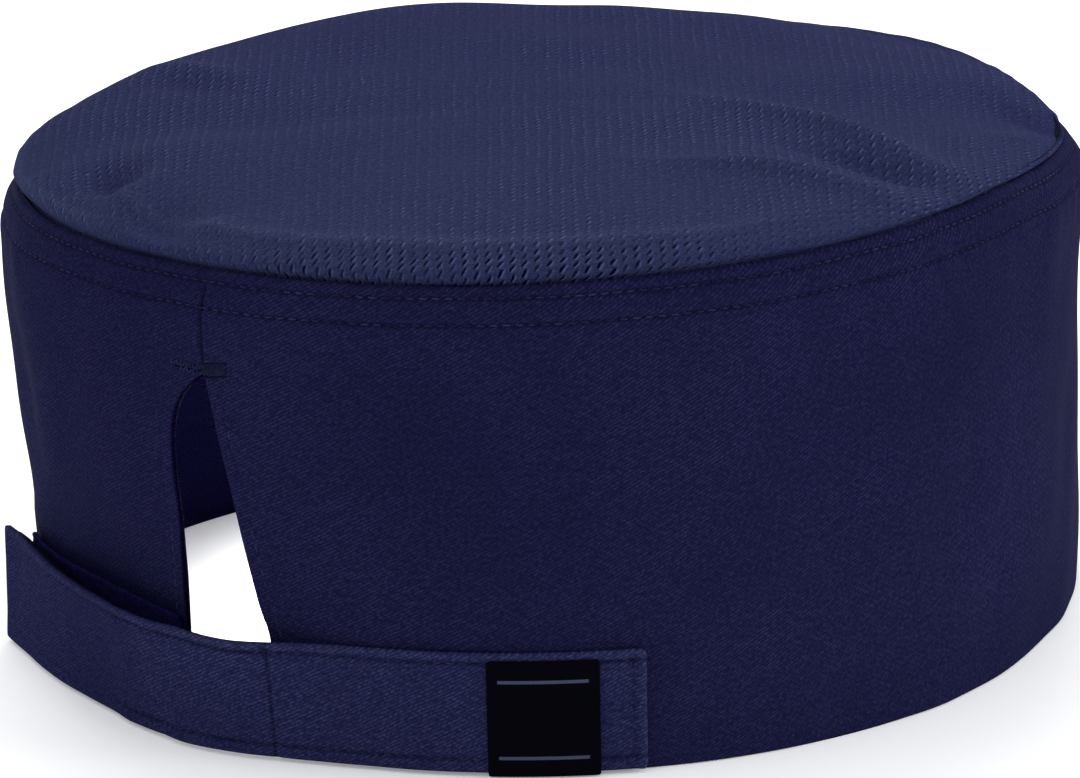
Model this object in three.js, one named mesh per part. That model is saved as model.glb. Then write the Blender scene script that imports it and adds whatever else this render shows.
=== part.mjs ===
// Chef skull cap of navy cloth, standing on its rim.
// Millimetres. +Z is up, +Y the wearer's front, +X the wearer's right. The adjusting slit is at
// the back. A place round the cap is an arc length along the rim from the middle of the back,
// positive to the right.

import * as THREE from 'three';
import { mergeVertices } from 'three/addons/utils/BufferGeometryUtils.js';

// The oval of the rim
const HALF_LENGTH = 101.2;
const HALF_WIDTH = 88.8;
const BACK_FULLNESS = 0.109;

// The upright wall: its foot draws in a little, and its top rolls in to the crown seam
const WALL_HEIGHT = 82;
const BAND_THICKNESS = 1.2;
const FOOT_TUCK = 2.2;
const FOOT_POWER = 1.5;
const ROLL_HEIGHT = 9;
const ROLL_TUCK = 3.5;
const SEAM_WAVER = 2;

// How far the empty cap has slumped at the seam, toward the wearer's left and front
const SLUMP_LEFT = 4.1;
const SLUMP_FRONT = 1;
const DENT_DEPTH = 5.3;

// The round top
const CROWN_THICKNESS = 1;
const SEAM_ALLOWANCE = 10;
const CROWN_PUFF = 12;
const CROWN_DOME = 3.2;
const CROWN_OVERHANG = 1.8;
const SHOULDER_RIDGE = 0.9;
const FOLD_HEIGHT = 2.4;

// The adjusting slit in the middle of the back
const SLIT_TOP = 65;
const SLIT_WIDTH = 20.4;

// The strap, sewn down right of the slit and fastened with its free end left of it
const STRAP_WIDTH = 20.8;
const STRAP_THICKNESS = 1.2;
const STRAP_DROP = 0.6;
const STRAP_SEWN = 67;
const STRAP_OVERLAP = 62.5;
const STRAP_BULGE = 4.8;

// Hook and loop tapes
const TAPE_THICKNESS = 1;
const LOOP_WIDTH = 21.4;
const LOOP_LENGTH = 61;
const LOOP_INSET = 3;
const LOOP_DROP = 0.6;
const HOOK_WIDTH = 18.8;
const HOOK_INSET = 11;
const HOOK_MARGIN = 1.5;

// The small woven label
const LABEL_WIDTH = 18.8;
const LABEL_HEIGHT = 20;
const LABEL_THICKNESS = 1;
const LABEL_DROP = 0.2;
const LABEL_FROM_END = 8;

// The gap between one layer of cloth and the next
const CLEARANCE = 0.3;

// How finely the cloth is divided
const OVAL_STEPS = 720;
const BAND_COLUMNS = 84;
const SLIT_COLUMNS = 8;
const SLIT_ROWS = 8;
const SEAM_ROWS = 5;
const CROWN_COLUMNS = 60;
const STRAP_COLUMNS = 40;
const TAPE_COLUMNS = 20;
const LABEL_COLUMNS = 6;
const STRAP_ROWS = 3;
const PROBE_STEP = 0.002;
const MERGE_REACH = 0.003;

// The slit's two hems. height is a share of SLIT_TOP, left and right are shares of SLIT_WIDTH.
const SLIT_HEMS = [
  { height: 0.00, left: -0.46, right: 0.70 },
  { height: 0.30, left: -0.42, right: 0.58 },
  { height: 0.45, left: -0.37, right: 0.46 },
  { height: 0.60, left: -0.34, right: 0.34 },
  { height: 0.72, left: -0.36, right: 0.25 },
  { height: 0.85, left: -0.33, right: 0.14 },
  { height: 0.93, left: -0.22, right: 0.08 },
  { height: 1.00, left: 0.00, right: 0.00 },
];

// Soft dents of the wall. round and wide are shares of the way round, height and tall are shares of
// WALL_HEIGHT, lean is how far the dent runs round as it rises, and depth is a share of DENT_DEPTH.
const WALL_DENTS = [
  { name: 'strap pull', round: -0.055, height: 0.20, wide: 0.05, tall: 0.25, lean: 0, depth: 1 },
  { name: 'over the label', round: 0.1, height: 0.68, wide: 0.03, tall: 0.3, lean: 0.07, depth: 0.28 },
  { name: 'full side', round: 0.235, height: 0.45, wide: 0.045, tall: 0.5, lean: 0, depth: -0.22 },
  { name: 'left fold', round: -0.105, height: 0.62, wide: 0.012, tall: 0.22, lean: -0.03, depth: 0.2 },
  { name: 'left swell', round: -0.142, height: 0.78, wide: 0.05, tall: 0.28, lean: 0, depth: -0.155 },
  { name: 'right hollow', round: 0.362, height: 0.48, wide: 0.06, tall: 0.32, lean: 0, depth: 0.15 },
  { name: 'right brow', round: 0.372, height: 0.98, wide: 0.05, tall: 0.15, lean: 0, depth: -0.26 },
];

// The crown seam round the cap. round is a share of the way round, rise a share of SEAM_WAVER by
// which the seam stands above or below WALL_HEIGHT, puff the height of the crown's rolled shoulder
// as a share of CROWN_PUFF, spread its overhang as a share of CROWN_OVERHANG, and rim the height
// of the ridge along the shoulder as a share of SHOULDER_RIDGE.
const SEAM_ROUND = [
  { round: 0.00, rise: 0.00, puff: 0.46, spread: 1.00, rim: 1.0 },
  { round: 0.10, rise: 0.40, puff: 0.50, spread: 1.00, rim: 1.3 },
  { round: 0.20, rise: 0.70, puff: 0.42, spread: 1.00, rim: 0.5 },
  { round: 0.28, rise: 0.40, puff: 0.28, spread: 1.00, rim: 0.3 },
  { round: 0.32, rise: -0.30, puff: 0.20, spread: 1.00, rim: 0.3 },
  { round: 0.355, rise: -0.94, puff: 0.16, spread: 1.00, rim: 0.3 },
  { round: 0.39, rise: -1.25, puff: 0.16, spread: 1.05, rim: 0.3 },
  { round: 0.43, rise: -1.30, puff: 0.34, spread: 0.80, rim: 0.3 },
  { round: 0.50, rise: -0.60, puff: 0.18, spread: 1.70, rim: 0.3 },
  { round: 0.60, rise: -0.30, puff: 0.60, spread: 0.70, rim: 0.3 },
  { round: 0.68, rise: -0.46, puff: 1.00, spread: 0.95, rim: 0.3 },
  { round: 0.74, rise: -0.56, puff: 0.88, spread: 1.20, rim: 0.3 },
  { round: 0.79, rise: -0.60, puff: 0.84, spread: 0.60, rim: 0.3 },
  { round: 0.83, rise: -0.59, puff: 0.74, spread: 1.60, rim: 0.3 },
  { round: 0.87, rise: -0.52, puff: 0.50, spread: 1.60, rim: 0.3 },
  { round: 0.91, rise: -0.39, puff: 0.74, spread: 1.15, rim: 0.4 },
  { round: 0.95, rise: -0.20, puff: 0.60, spread: 1.00, rim: 0.6 },
  { round: 1.00, rise: 0.00, puff: 0.46, spread: 1.00, rim: 1.0 },
];

// Folds of the crown. x and y are shares of the half width and half length, turn is the fold's
// direction in degrees from +X, long and wide are shares of HALF_LENGTH, rise is a share of FOLD_HEIGHT.
const CROWN_FOLDS = [
  { name: 'right ridge', x: 0.50, y: 0.13, turn: 175, long: 0.30, wide: 0.07, rise: 0.6 },
  { name: 'near right ridge', x: 0.73, y: -0.15, turn: 18, long: 0.26, wide: 0.06, rise: 0.5 },
  { name: 'right valley', x: 0.72, y: 0.02, turn: 7, long: 0.20, wide: 0.06, rise: -0.6 },
  { name: 'left dimple', x: -0.44, y: -0.77, turn: 146, long: 0.13, wide: 0.07, rise: -1 },
  { name: 'left ridge', x: -0.34, y: -0.82, turn: 100, long: 0.10, wide: 0.06, rise: 0.6 },
  { name: 'back dimple', x: -0.19, y: -0.89, turn: 148, long: 0.09, wide: 0.06, rise: -0.8 },
];

// How the crown rises from its seam to its middle. reach is the share of the way out from the middle.
const CROWN_REACHES = [1, 0.994, 0.98, 0.96, 0.93, 0.9, 0.85, 0.76, 0.62, 0.46, 0.28, 0.12, 0];
const SHOULDER_POWER = 11;
const SHOULDER_ROUNDNESS = 2.2;
const MIDDLE_PUFF = 0.5;
const OVERHANG_LEVEL = 0.022;
const RIDGE_REACH = 0.93;
const RIDGE_SPREAD = 0.03;

// The rows of the crown's skirt inside the band, as shares of SEAM_ALLOWANCE below the seam
const SKIRT_LEVELS = [-1, -0.5];

// Slack of the strap off its seat. along is the share of the way from the free end to the sewn end,
// low and high are the slack of its bottom and top edges as shares of STRAP_BULGE.
const STRAP_SLACK = [
  { along: 0.000, low: 0.55, high: 0.36 },
  { along: 0.040, low: 0.29, high: 0.12 },
  { along: 0.080, low: 0.14, high: 0.12 },
  { along: 0.120, low: 0.11, high: 0.21 },
  { along: 0.200, low: 0.12, high: 0.57 },
  { along: 0.270, low: 0.14, high: 0.82 },
  { along: 0.330, low: 0.20, high: 0.92 },
  { along: 0.370, low: 0.44, high: 1.10 },
  { along: 0.420, low: 0.84, high: 1.43 },
  { along: 0.455, low: 0.96, high: 1.30 },
  { along: 0.500, low: 0.80, high: 1.36 },
  { along: 0.540, low: 0.62, high: 1.22 },
  { along: 0.575, low: 0.40, high: 0.80 },
  { along: 0.600, low: 0.28, high: 0.45 },
  { along: 0.630, low: 0.12, high: 0.18 },
  { along: 0.670, low: 0.02, high: 0.03 },
  { along: 0.720, low: 0.00, high: 0.00 },
  { along: 1.000, low: 0.00, high: 0.00 },
];

const NAVY_TWILL = new THREE.MeshStandardMaterial({ color: '#1c1d3d', roughness: 0.85, metalness: 0 });
const NAVY_MESH = new THREE.MeshStandardMaterial({ color: '#31365a', roughness: 0.9, metalness: 0 });
const NAVY_STRAP = new THREE.MeshStandardMaterial({ color: '#1f2141', roughness: 0.85, metalness: 0 });
const BLACK_TAPE = new THREE.MeshStandardMaterial({ color: '#0c0c12', roughness: 0.95, metalness: 0 });
const BLACK_LABEL = new THREE.MeshStandardMaterial({ color: '#101015', roughness: 0.6, metalness: 0 });

// Reads one column of a table at a place between its rows, along a smooth curve through them.
function readTable(rows, placeColumn, valueColumn, place) {
  const last = rows.length - 1;
  const at = THREE.MathUtils.clamp(place, rows[0][placeColumn], rows[last][placeColumn]);
  let row = 0;
  while (row < last - 1 && rows[row + 1][placeColumn] < at) {
    row += 1;
  }
  const slopeAt = (index) => {
    const before = rows[Math.max(index - 1, 0)];
    const after = rows[Math.min(index + 1, last)];
    return (after[valueColumn] - before[valueColumn]) / (after[placeColumn] - before[placeColumn]);
  };
  const span = rows[row + 1][placeColumn] - rows[row][placeColumn];
  const part = (at - rows[row][placeColumn]) / span;
  const ease = part * part * (3 - 2 * part);
  const level = rows[row][valueColumn] * (1 - ease) + rows[row + 1][valueColumn] * ease;
  const leaving = slopeAt(row) * span * part * (1 - part) ** 2;
  const arriving = slopeAt(row + 1) * span * part ** 2 * (1 - part);
  return level + leaving - arriving;
}

// The rim's oval, a little fuller toward the back. turn is 0 at the back and grows to the right.
function ovalPoint(turn) {
  return new THREE.Vector2(
    HALF_WIDTH * Math.sin(turn) * (1 + BACK_FULLNESS * Math.cos(turn)),
    -HALF_LENGTH * Math.cos(turn),
  );
}

function ovalSide(turn) {
  const step = Math.PI / OVAL_STEPS;
  const along = ovalPoint(turn + step).sub(ovalPoint(turn - step)).normalize();
  return new THREE.Vector2(along.y, -along.x);
}

// Arc length from the middle of the back to each step of the oval
const ovalArcs = [0];
for (let step = 1; step <= OVAL_STEPS; step += 1) {
  const from = ovalPoint((2 * Math.PI * (step - 1)) / OVAL_STEPS);
  const to = ovalPoint((2 * Math.PI * step) / OVAL_STEPS);
  ovalArcs.push(ovalArcs[step - 1] + from.distanceTo(to));
}
const ROUND_LENGTH = ovalArcs[OVAL_STEPS];

function turnAt(arc) {
  const onward = THREE.MathUtils.euclideanModulo(arc, ROUND_LENGTH);
  let step = Math.floor((onward / ROUND_LENGTH) * OVAL_STEPS);
  while (ovalArcs[step + 1] < onward) {
    step += 1;
  }
  while (ovalArcs[step] > onward) {
    step -= 1;
  }
  const part = (onward - ovalArcs[step]) / (ovalArcs[step + 1] - ovalArcs[step]);
  return (2 * Math.PI * (step + part)) / OVAL_STEPS;
}

// The share of the way round at an arc length
function roundShare(arc) {
  return THREE.MathUtils.euclideanModulo(arc, ROUND_LENGTH) / ROUND_LENGTH;
}

function dentAt(arc, share) {
  let depth = 0;
  for (const dent of WALL_DENTS) {
    const centre = (dent.round + dent.lean * (share - dent.height)) * ROUND_LENGTH;
    const onward = THREE.MathUtils.euclideanModulo(arc - centre, ROUND_LENGTH);
    const away = Math.min(onward, ROUND_LENGTH - onward);
    const across = away / (dent.wide * ROUND_LENGTH);
    const up = (share - dent.height) / dent.tall;
    depth += dent.depth * DENT_DEPTH * Math.exp(-across * across - up * up);
  }
  return depth;
}

// Drawing in of the wall's foot and of the roll at its top
function tuckAt(height) {
  const rollStart = WALL_HEIGHT - ROLL_HEIGHT;
  if (height < rollStart) {
    return FOOT_TUCK * (1 - height / rollStart) ** FOOT_POWER;
  }
  return ROLL_TUCK * ((height - rollStart) / ROLL_HEIGHT) ** 2;
}

// A point of the wall's outer face, or out millimetres off it
function wallPoint(arc, height, out) {
  const turn = turnAt(arc);
  const share = height / WALL_HEIGHT;
  const foot = ovalPoint(turn);
  const side = ovalSide(turn);
  const slump = -(SLUMP_FRONT * Math.cos(turn) + SLUMP_LEFT * Math.sin(turn)) * share * share;
  const offset = slump - tuckAt(height) - dentAt(arc, share) + out;
  return [
    foot.x + side.x * offset,
    foot.y + side.y * offset,
    height + readTable(SEAM_ROUND, 'round', 'rise', roundShare(arc)) * SEAM_WAVER * share,
  ];
}

// A closed solid of cloth between an outer and an inner face. Each face is a function of column and row.
// endsMeet tells for a row whether the first and the last column are the same place there.
function clothSolid(columns, rows, outer, inner, endsMeet) {
  const places = [];
  const quad = (a, b, c, d) => {
    places.push(...a, ...b, ...c, ...a, ...c, ...d);
  };
  for (let column = 0; column < columns; column += 1) {
    const next = column + 1;
    for (let row = 0; row < rows; row += 1) {
      const above = row + 1;
      quad(outer(column, row), outer(next, row), outer(next, above), outer(column, above));
      quad(inner(column, row), inner(column, above), inner(next, above), inner(next, row));
    }
    quad(inner(column, 0), inner(next, 0), outer(next, 0), outer(column, 0));
    quad(outer(column, rows), outer(next, rows), inner(next, rows), inner(column, rows));
  }
  for (let row = 0; row < rows; row += 1) {
    const above = row + 1;
    if (!(endsMeet(row) && endsMeet(above))) {
      quad(outer(0, row), outer(0, above), inner(0, above), inner(0, row));
      quad(inner(columns, row), inner(columns, above), outer(columns, above), outer(columns, row));
    }
  }
  const loose = new THREE.BufferGeometry();
  loose.setAttribute('position', new THREE.Float32BufferAttribute(places, 3));
  const joined = mergeVertices(loose, MERGE_REACH);
  const corners = joined.getIndex().array;
  const kept = [];
  for (let first = 0; first < corners.length; first += 3) {
    const [a, b, c] = [corners[first], corners[first + 1], corners[first + 2]];
    if (a !== b && b !== c && c !== a) {
      kept.push(a, b, c);
    }
  }
  joined.setIndex(kept);
  joined.computeVertexNormals();
  return joined;
}

const neverMeet = () => false;
const alwaysMeet = () => true;

// The slit's hem as an arc length from the middle of the back
function hemArc(side, height) {
  return readTable(SLIT_HEMS, 'height', side, height / SLIT_TOP) * SLIT_WIDTH;
}

// Band: one strip round the cap, its ends joined above the slit and parted below it
function bandGeometry() {
  const heights = [];
  for (let row = 0; row <= SLIT_ROWS; row += 1) {
    heights.push((SLIT_TOP * row) / SLIT_ROWS);
  }
  for (let row = 1; row <= SEAM_ROWS; row += 1) {
    heights.push(SLIT_TOP + ((WALL_HEIGHT - SLIT_TOP) * row) / SEAM_ROWS);
  }
  const arcAt = (column, height) => {
    const nearStart = Math.max(0, 1 - column / SLIT_COLUMNS);
    const nearEnd = Math.max(0, 1 - (BAND_COLUMNS - column) / SLIT_COLUMNS);
    const even = (ROUND_LENGTH * column) / BAND_COLUMNS;
    return even + hemArc('right', height) * nearStart + hemArc('left', height) * nearEnd;
  };
  const face = (out) => (column, row) => wallPoint(arcAt(column, heights[row]), heights[row], out);
  const joined = (row) => row >= SLIT_ROWS;
  return clothSolid(BAND_COLUMNS, heights.length - 1, face(0), face(-BAND_THICKNESS), joined);
}

// The place of the crown's middle, over the middle of the slumped seam
function crownMiddle() {
  const middle = new THREE.Vector3();
  for (let column = 0; column < CROWN_COLUMNS; column += 1) {
    const arc = (ROUND_LENGTH * column) / CROWN_COLUMNS;
    middle.add(new THREE.Vector3(...wallPoint(arc, WALL_HEIGHT, 0)));
  }
  return middle.divideScalar(CROWN_COLUMNS);
}
const CROWN_MIDDLE = crownMiddle();

function foldRise(x, y) {
  let rise = 0;
  for (const fold of CROWN_FOLDS) {
    const turn = THREE.MathUtils.degToRad(fold.turn);
    const fromX = x - fold.x * HALF_WIDTH;
    const fromY = y - fold.y * HALF_LENGTH;
    const along = (fromX * Math.cos(turn) + fromY * Math.sin(turn)) / (fold.long * HALF_LENGTH);
    const across = (fromY * Math.cos(turn) - fromX * Math.sin(turn)) / (fold.wide * HALF_LENGTH);
    rise += fold.rise * FOLD_HEIGHT * Math.exp(-along * along - across * across);
  }
  return rise;
}

// A point of the crown's outer face. Below level 0 it is the seam allowance down inside the band,
// from there to level 1 it rolls over the shoulder to the middle.
function crownPoint(arc, level) {
  const inside = -BAND_THICKNESS - CLEARANCE;
  if (level <= 0) {
    return new THREE.Vector3(...wallPoint(arc, WALL_HEIGHT + level * SEAM_ALLOWANCE, inside));
  }
  const reach = 1 - level;
  const seam = new THREE.Vector3(...wallPoint(arc, WALL_HEIGHT, inside));
  const edgePuff = readTable(SEAM_ROUND, 'round', 'puff', roundShare(arc));
  const puff = CROWN_PUFF * THREE.MathUtils.lerp(MIDDLE_PUFF, edgePuff, reach * reach);
  const shoulder = (1 - reach ** SHOULDER_POWER) ** (1 / SHOULDER_ROUNDNESS);
  const spread = readTable(SEAM_ROUND, 'round', 'spread', roundShare(arc));
  const bulge = spread * (level / OVERHANG_LEVEL) * Math.exp(1 - level / OVERHANG_LEVEL);
  const side = ovalSide(turnAt(arc)).multiplyScalar(CROWN_OVERHANG * bulge);
  const point = CROWN_MIDDLE.clone().lerp(seam, reach).add(new THREE.Vector3(side.x, side.y, 0));
  const rim = SHOULDER_RIDGE * readTable(SEAM_ROUND, 'round', 'rim', roundShare(arc));
  const ridge = rim * Math.exp(-(((reach - RIDGE_REACH) / RIDGE_SPREAD) ** 2));
  point.z += shoulder * (puff + ridge + foldRise(point.x, point.y));
  point.z += CROWN_DOME * (1 - reach * reach);
  return point;
}

// The crown's outward direction, found from four near points
function crownSide(arc, level) {
  if (level >= 1) {
    return new THREE.Vector3(0, 0, 1);
  }
  const arcStep = PROBE_STEP * ROUND_LENGTH;
  const round = crownPoint(arc + arcStep, level).sub(crownPoint(arc - arcStep, level));
  const up = crownPoint(arc, level + PROBE_STEP).sub(crownPoint(arc, level - PROBE_STEP));
  return round.cross(up).normalize();
}

function crownGeometry() {
  const levels = [...SKIRT_LEVELS, ...CROWN_REACHES.map((reach) => 1 - reach)];
  const face = (depth) => (column, row) => {
    const arc = (ROUND_LENGTH * (column % CROWN_COLUMNS)) / CROWN_COLUMNS;
    const point = crownPoint(arc, levels[row]);
    return point.addScaledVector(crownSide(arc, levels[row]), -depth).toArray();
  };
  return clothSolid(CROWN_COLUMNS, levels.length - 1, face(0), face(CROWN_THICKNESS), alwaysMeet);
}

// The strap's ends, and the tapes' ends that lie nearest to the slit
const SLIT_LEFT = hemArc('left', STRAP_DROP + STRAP_WIDTH);
const SLIT_RIGHT = hemArc('right', STRAP_DROP + STRAP_WIDTH);
const STRAP_TAIL = SLIT_LEFT - STRAP_OVERLAP;
const STRAP_END = SLIT_RIGHT + STRAP_SEWN;
const LOOP_START = SLIT_LEFT - LOOP_INSET;
const HOOK_START = SLIT_LEFT - HOOK_INSET;

// How far the strap's inner face stands off the wall: over the tapes, or close to the band, plus its slack
function strapLift(arc, height) {
  const overTapes = THREE.MathUtils.clamp((SLIT_LEFT - arc) / HOOK_INSET, 0, 1);
  const seat = CLEARANCE + overTapes * 2 * (TAPE_THICKNESS + CLEARANCE);
  const along = (arc - STRAP_TAIL) / (STRAP_END - STRAP_TAIL);
  const low = readTable(STRAP_SLACK, 'along', 'low', along);
  const high = readTable(STRAP_SLACK, 'along', 'high', along);
  const up = THREE.MathUtils.clamp((height - STRAP_DROP) / STRAP_WIDTH, 0, 1);
  return seat + STRAP_BULGE * THREE.MathUtils.lerp(low, high, up);
}

// A flat piece of cloth that follows the wall from one arc to another. lift gives how far its inner
// face stands off the wall.
function patchGeometry({ columns, fromArc, toArc, bottom, width, thickness, lift }) {
  const face = (out) => (column, row) => {
    const arc = fromArc + ((toArc - fromArc) * column) / columns;
    const height = bottom + (width * row) / STRAP_ROWS;
    return wallPoint(arc, height, lift(arc, height) + out);
  };
  return clothSolid(columns, STRAP_ROWS, face(thickness), face(0), neverMeet);
}

function strapGeometry() {
  return patchGeometry({
    columns: STRAP_COLUMNS,
    fromArc: STRAP_TAIL,
    toArc: STRAP_END,
    bottom: STRAP_DROP,
    width: STRAP_WIDTH,
    thickness: STRAP_THICKNESS,
    lift: strapLift,
  });
}

function loopTapeGeometry() {
  return patchGeometry({
    columns: TAPE_COLUMNS,
    fromArc: LOOP_START - LOOP_LENGTH,
    toArc: LOOP_START,
    bottom: LOOP_DROP,
    width: LOOP_WIDTH,
    thickness: TAPE_THICKNESS,
    lift: () => CLEARANCE,
  });
}

function hookTapeGeometry() {
  return patchGeometry({
    columns: TAPE_COLUMNS,
    fromArc: STRAP_TAIL + HOOK_MARGIN,
    toArc: HOOK_START,
    bottom: STRAP_DROP + (STRAP_WIDTH - HOOK_WIDTH) / 2,
    width: HOOK_WIDTH,
    thickness: TAPE_THICKNESS,
    lift: (arc, height) => strapLift(arc, height) - CLEARANCE - TAPE_THICKNESS,
  });
}

function labelGeometry() {
  return patchGeometry({
    columns: LABEL_COLUMNS,
    fromArc: STRAP_END - LABEL_FROM_END - LABEL_WIDTH,
    toArc: STRAP_END - LABEL_FROM_END,
    bottom: LABEL_DROP,
    width: LABEL_HEIGHT,
    thickness: LABEL_THICKNESS,
    lift: (arc, height) => strapLift(arc, height) + STRAP_THICKNESS + CLEARANCE,
  });
}

function piece(name, geometry, material) {
  const mesh = new THREE.Mesh(geometry, material);
  mesh.name = name;
  return mesh;
}

const cap = new THREE.Group();
cap.add(
  piece('band', bandGeometry(), NAVY_TWILL),
  piece('crown', crownGeometry(), NAVY_MESH),
  piece('loop_tape', loopTapeGeometry(), BLACK_TAPE),
  piece('hook_tape', hookTapeGeometry(), BLACK_TAPE),
  piece('strap', strapGeometry(), NAVY_STRAP),
  piece('label', labelGeometry(), BLACK_LABEL),
);

// The origin is in the middle of the cap's box, at the foot of its rim
const box = new THREE.Box3().setFromObject(cap);
const middle = box.getCenter(new THREE.Vector3());
cap.position.set(-middle.x, -middle.y, -box.min.z);

export default cap;
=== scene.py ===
"""A navy chef skull cap standing on its rim: an upright twill band, a soft vent-mesh crown, and a
hook-and-loop strap across the adjusting slit at the back."""

import math

import bpy
import numpy as np
from mathutils import Matrix, Vector


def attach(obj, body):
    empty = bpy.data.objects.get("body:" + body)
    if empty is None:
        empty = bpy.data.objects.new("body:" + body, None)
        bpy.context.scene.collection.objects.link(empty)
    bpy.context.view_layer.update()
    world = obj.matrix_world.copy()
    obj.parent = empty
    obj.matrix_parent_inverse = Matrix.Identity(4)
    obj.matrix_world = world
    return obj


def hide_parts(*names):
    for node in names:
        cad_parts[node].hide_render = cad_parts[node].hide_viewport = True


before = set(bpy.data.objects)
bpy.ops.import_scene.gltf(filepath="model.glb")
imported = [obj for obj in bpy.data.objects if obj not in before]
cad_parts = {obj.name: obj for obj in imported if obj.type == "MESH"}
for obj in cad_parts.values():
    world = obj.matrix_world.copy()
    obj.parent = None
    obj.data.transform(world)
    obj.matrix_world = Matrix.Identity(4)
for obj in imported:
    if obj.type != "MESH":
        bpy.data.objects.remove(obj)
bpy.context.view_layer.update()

# ---- Band ----
# The upright wall of the cap: one strip of navy twill, folded double and sewn into a ring. Its
# ends are joined at the middle of the back above the adjusting slit and hemmed beside it, and its
# top edge is turned in and sewn to the crown.

MM = 0.001
RIM_MIDDLE = (1.790, 2.344, 0.0)
HALF_LENGTH = 101.2
HALF_WIDTH = 88.8
BACK_FULLNESS = 0.109
WALL_HEIGHT = 82.0
BAND_THICKNESS = 1.2
FOOT_TUCK = 2.2
FOOT_POWER = 1.5
ROLL_HEIGHT = 9.0
ROLL_TUCK = 3.5
SEAM_WAVER = 2.0
SLUMP_LEFT = 4.1
SLUMP_FRONT = 1.0
DENT_DEPTH = 5.3
CLEARANCE = 0.3
SLIT_TOP = 65.0
SLIT_WIDTH = 20.4
HEM_BLEND = 57.0
FOLD_RADIUS = 0.6
TOP_ROWS = (76.2, 80.2)
HEM_ROW = 2.8
HEM_DEPTH = 0.28
SEW_DEPTH = 0.26
SEW_SPREAD = 0.42
SEAM_GROOVE = 0.75
# Painted shade: how dark the cloth's inner faces are painted, as if in the cap's shadow.
INSIDE_SHADE = 0.43
# Painted shade: how much the left hem's edge face is darkened, as if in shadow.
HEM_EDGE_SHADE = 0.8
# Painted light: how much lighter the band is painted at its foot than higher up.
LOW_EDGE_LIGHT = 0.08
TAPE_TOP = 20.4
TAPE_ENDS = (1, 4, 58, 64)
# Painted shadow on the band above the loop tape: how dark, and how far up it reaches.
TAPE_SHADE = 0.36
TAPE_SHADE_REACH = 3.2
CLOTH_GLOSS = 0.015
SHEEN_TINT = (0.4, 0.45, 0.9, 1.0)

# Shares of SLIT_TOP and SLIT_WIDTH
SLIT_HEMS = {
    "height": [0.00, 0.30, 0.45, 0.60, 0.72, 0.85, 0.93, 1.00],
    "left": [-0.46, -0.42, -0.37, -0.34, -0.36, -0.33, -0.22, 0.00],
    "right": [0.70, 0.58, 0.46, 0.34, 0.25, 0.14, 0.08, 0.00],
}

# Shares of the way round, of SEAM_WAVER, and of the crown's puff, its overhang and its ridge
SEAM_ROUND = {
    "round": [
        0.00, 0.10, 0.20, 0.28, 0.32, 0.355, 0.39, 0.43, 0.50, 0.60, 0.68, 0.74, 0.79, 0.83,
        0.87, 0.91, 0.95, 1.00
    ],
    "rise": [
        0.00, 0.40, 0.70, 0.40, -0.30, -0.94, -1.25, -1.30, -0.60, -0.30, -0.46, -0.56,
        -0.60, -0.59, -0.52, -0.39, -0.20, 0.00
    ],
    "puff": [
        0.46, 0.50, 0.42, 0.28, 0.20, 0.16, 0.16, 0.34, 0.18, 0.60, 1.04, 0.93, 0.90, 0.74,
        0.50, 0.74, 0.60, 0.46
    ],
    "spread": [
        1.00, 1.00, 1.00, 1.00, 1.00, 1.00, 1.05, 0.80, 1.70, 0.70, 0.95, 1.20, 0.85, 1.60,
        1.60, 1.15, 1.00, 1.00
    ],
    "rim": [
        1.00, 1.30, 0.50, 0.30, 0.30, 0.30, 0.30, 0.30, 0.30, 0.30, 0.30, 0.30, 0.30, 0.30,
        0.30, 0.40, 0.60, 1.00
    ],
}

# Round and wide are shares of the way round, height and tall of the wall's height, lean is how
# far the dent runs round as it rises, and depth is a share of DENT_DEPTH.
WALL_DENTS = {
    "strap pull": dict(round=-0.055, height=0.20, wide=0.05, tall=0.25, lean=0.0, depth=1.0),
    "over the label": dict(round=0.1, height=0.68, wide=0.03, tall=0.3, lean=0.07, depth=0.28),
    "full side": dict(round=0.235, height=0.45, wide=0.045, tall=0.5, lean=0.0, depth=-0.22),
    "left fold": dict(round=-0.105, height=0.62, wide=0.012, tall=0.22, lean=-0.03, depth=0.2),
    "left swell": dict(round=-0.142, height=0.78, wide=0.05, tall=0.28, lean=0.0, depth=-0.155),
    "right hollow": dict(round=0.362, height=0.48, wide=0.06, tall=0.32, lean=0.0, depth=0.15),
    "right brow": dict(round=0.372, height=0.98, wide=0.05, tall=0.15, lean=0.0, depth=-0.40),
}
SOFT_DENTS = {
    "upper hollow": dict(round=0.115, height=0.66, wide=0.016, tall=0.16, lean=-0.10, depth=0.10),
    "lower hollow": dict(round=0.072, height=0.48, wide=0.016, tall=0.18, lean=-0.10, depth=0.12),
    "swell between": dict(round=0.150, height=0.55, wide=0.022, tall=0.30, lean=-0.05, depth=-0.07),
    "left crease": dict(round=-0.062, height=0.66, wide=0.007, tall=0.20, lean=0.06, depth=0.07),
    "slit flare": dict(round=0.022, height=0.50, wide=0.012, tall=0.25, lean=0.01, depth=-0.08),
}


def read_table(rows, place_column, value_column, place):
    """Reads a column of a table at places between its rows, along a smooth curve through them."""
    places = np.array(rows[place_column])
    values = np.array(rows[value_column])
    before = np.maximum(np.arange(len(places)) - 1, 0)
    after = np.minimum(np.arange(len(places)) + 1, len(places) - 1)
    slopes = (values[after] - values[before]) / (places[after] - places[before])
    at = np.clip(place, places[0], places[-1])
    row = np.searchsorted(places[1:-1], at)
    span = places[row + 1] - places[row]
    part = (at - places[row]) / span
    ease = part * part * (3 - 2 * part)
    level = values[row] * (1 - ease) + values[row + 1] * ease
    leaving = slopes[row] * span * part * (1 - part) ** 2
    arriving = slopes[row + 1] * span * part**2 * (1 - part)
    return level + leaving - arriving


def oval_point(turn):
    """A point of the rim's oval. turn is 0 at the back and grows toward the wearer's right."""
    across = HALF_WIDTH * np.sin(turn) * (1 + BACK_FULLNESS * np.cos(turn))
    return across, -HALF_LENGTH * np.cos(turn)


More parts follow.
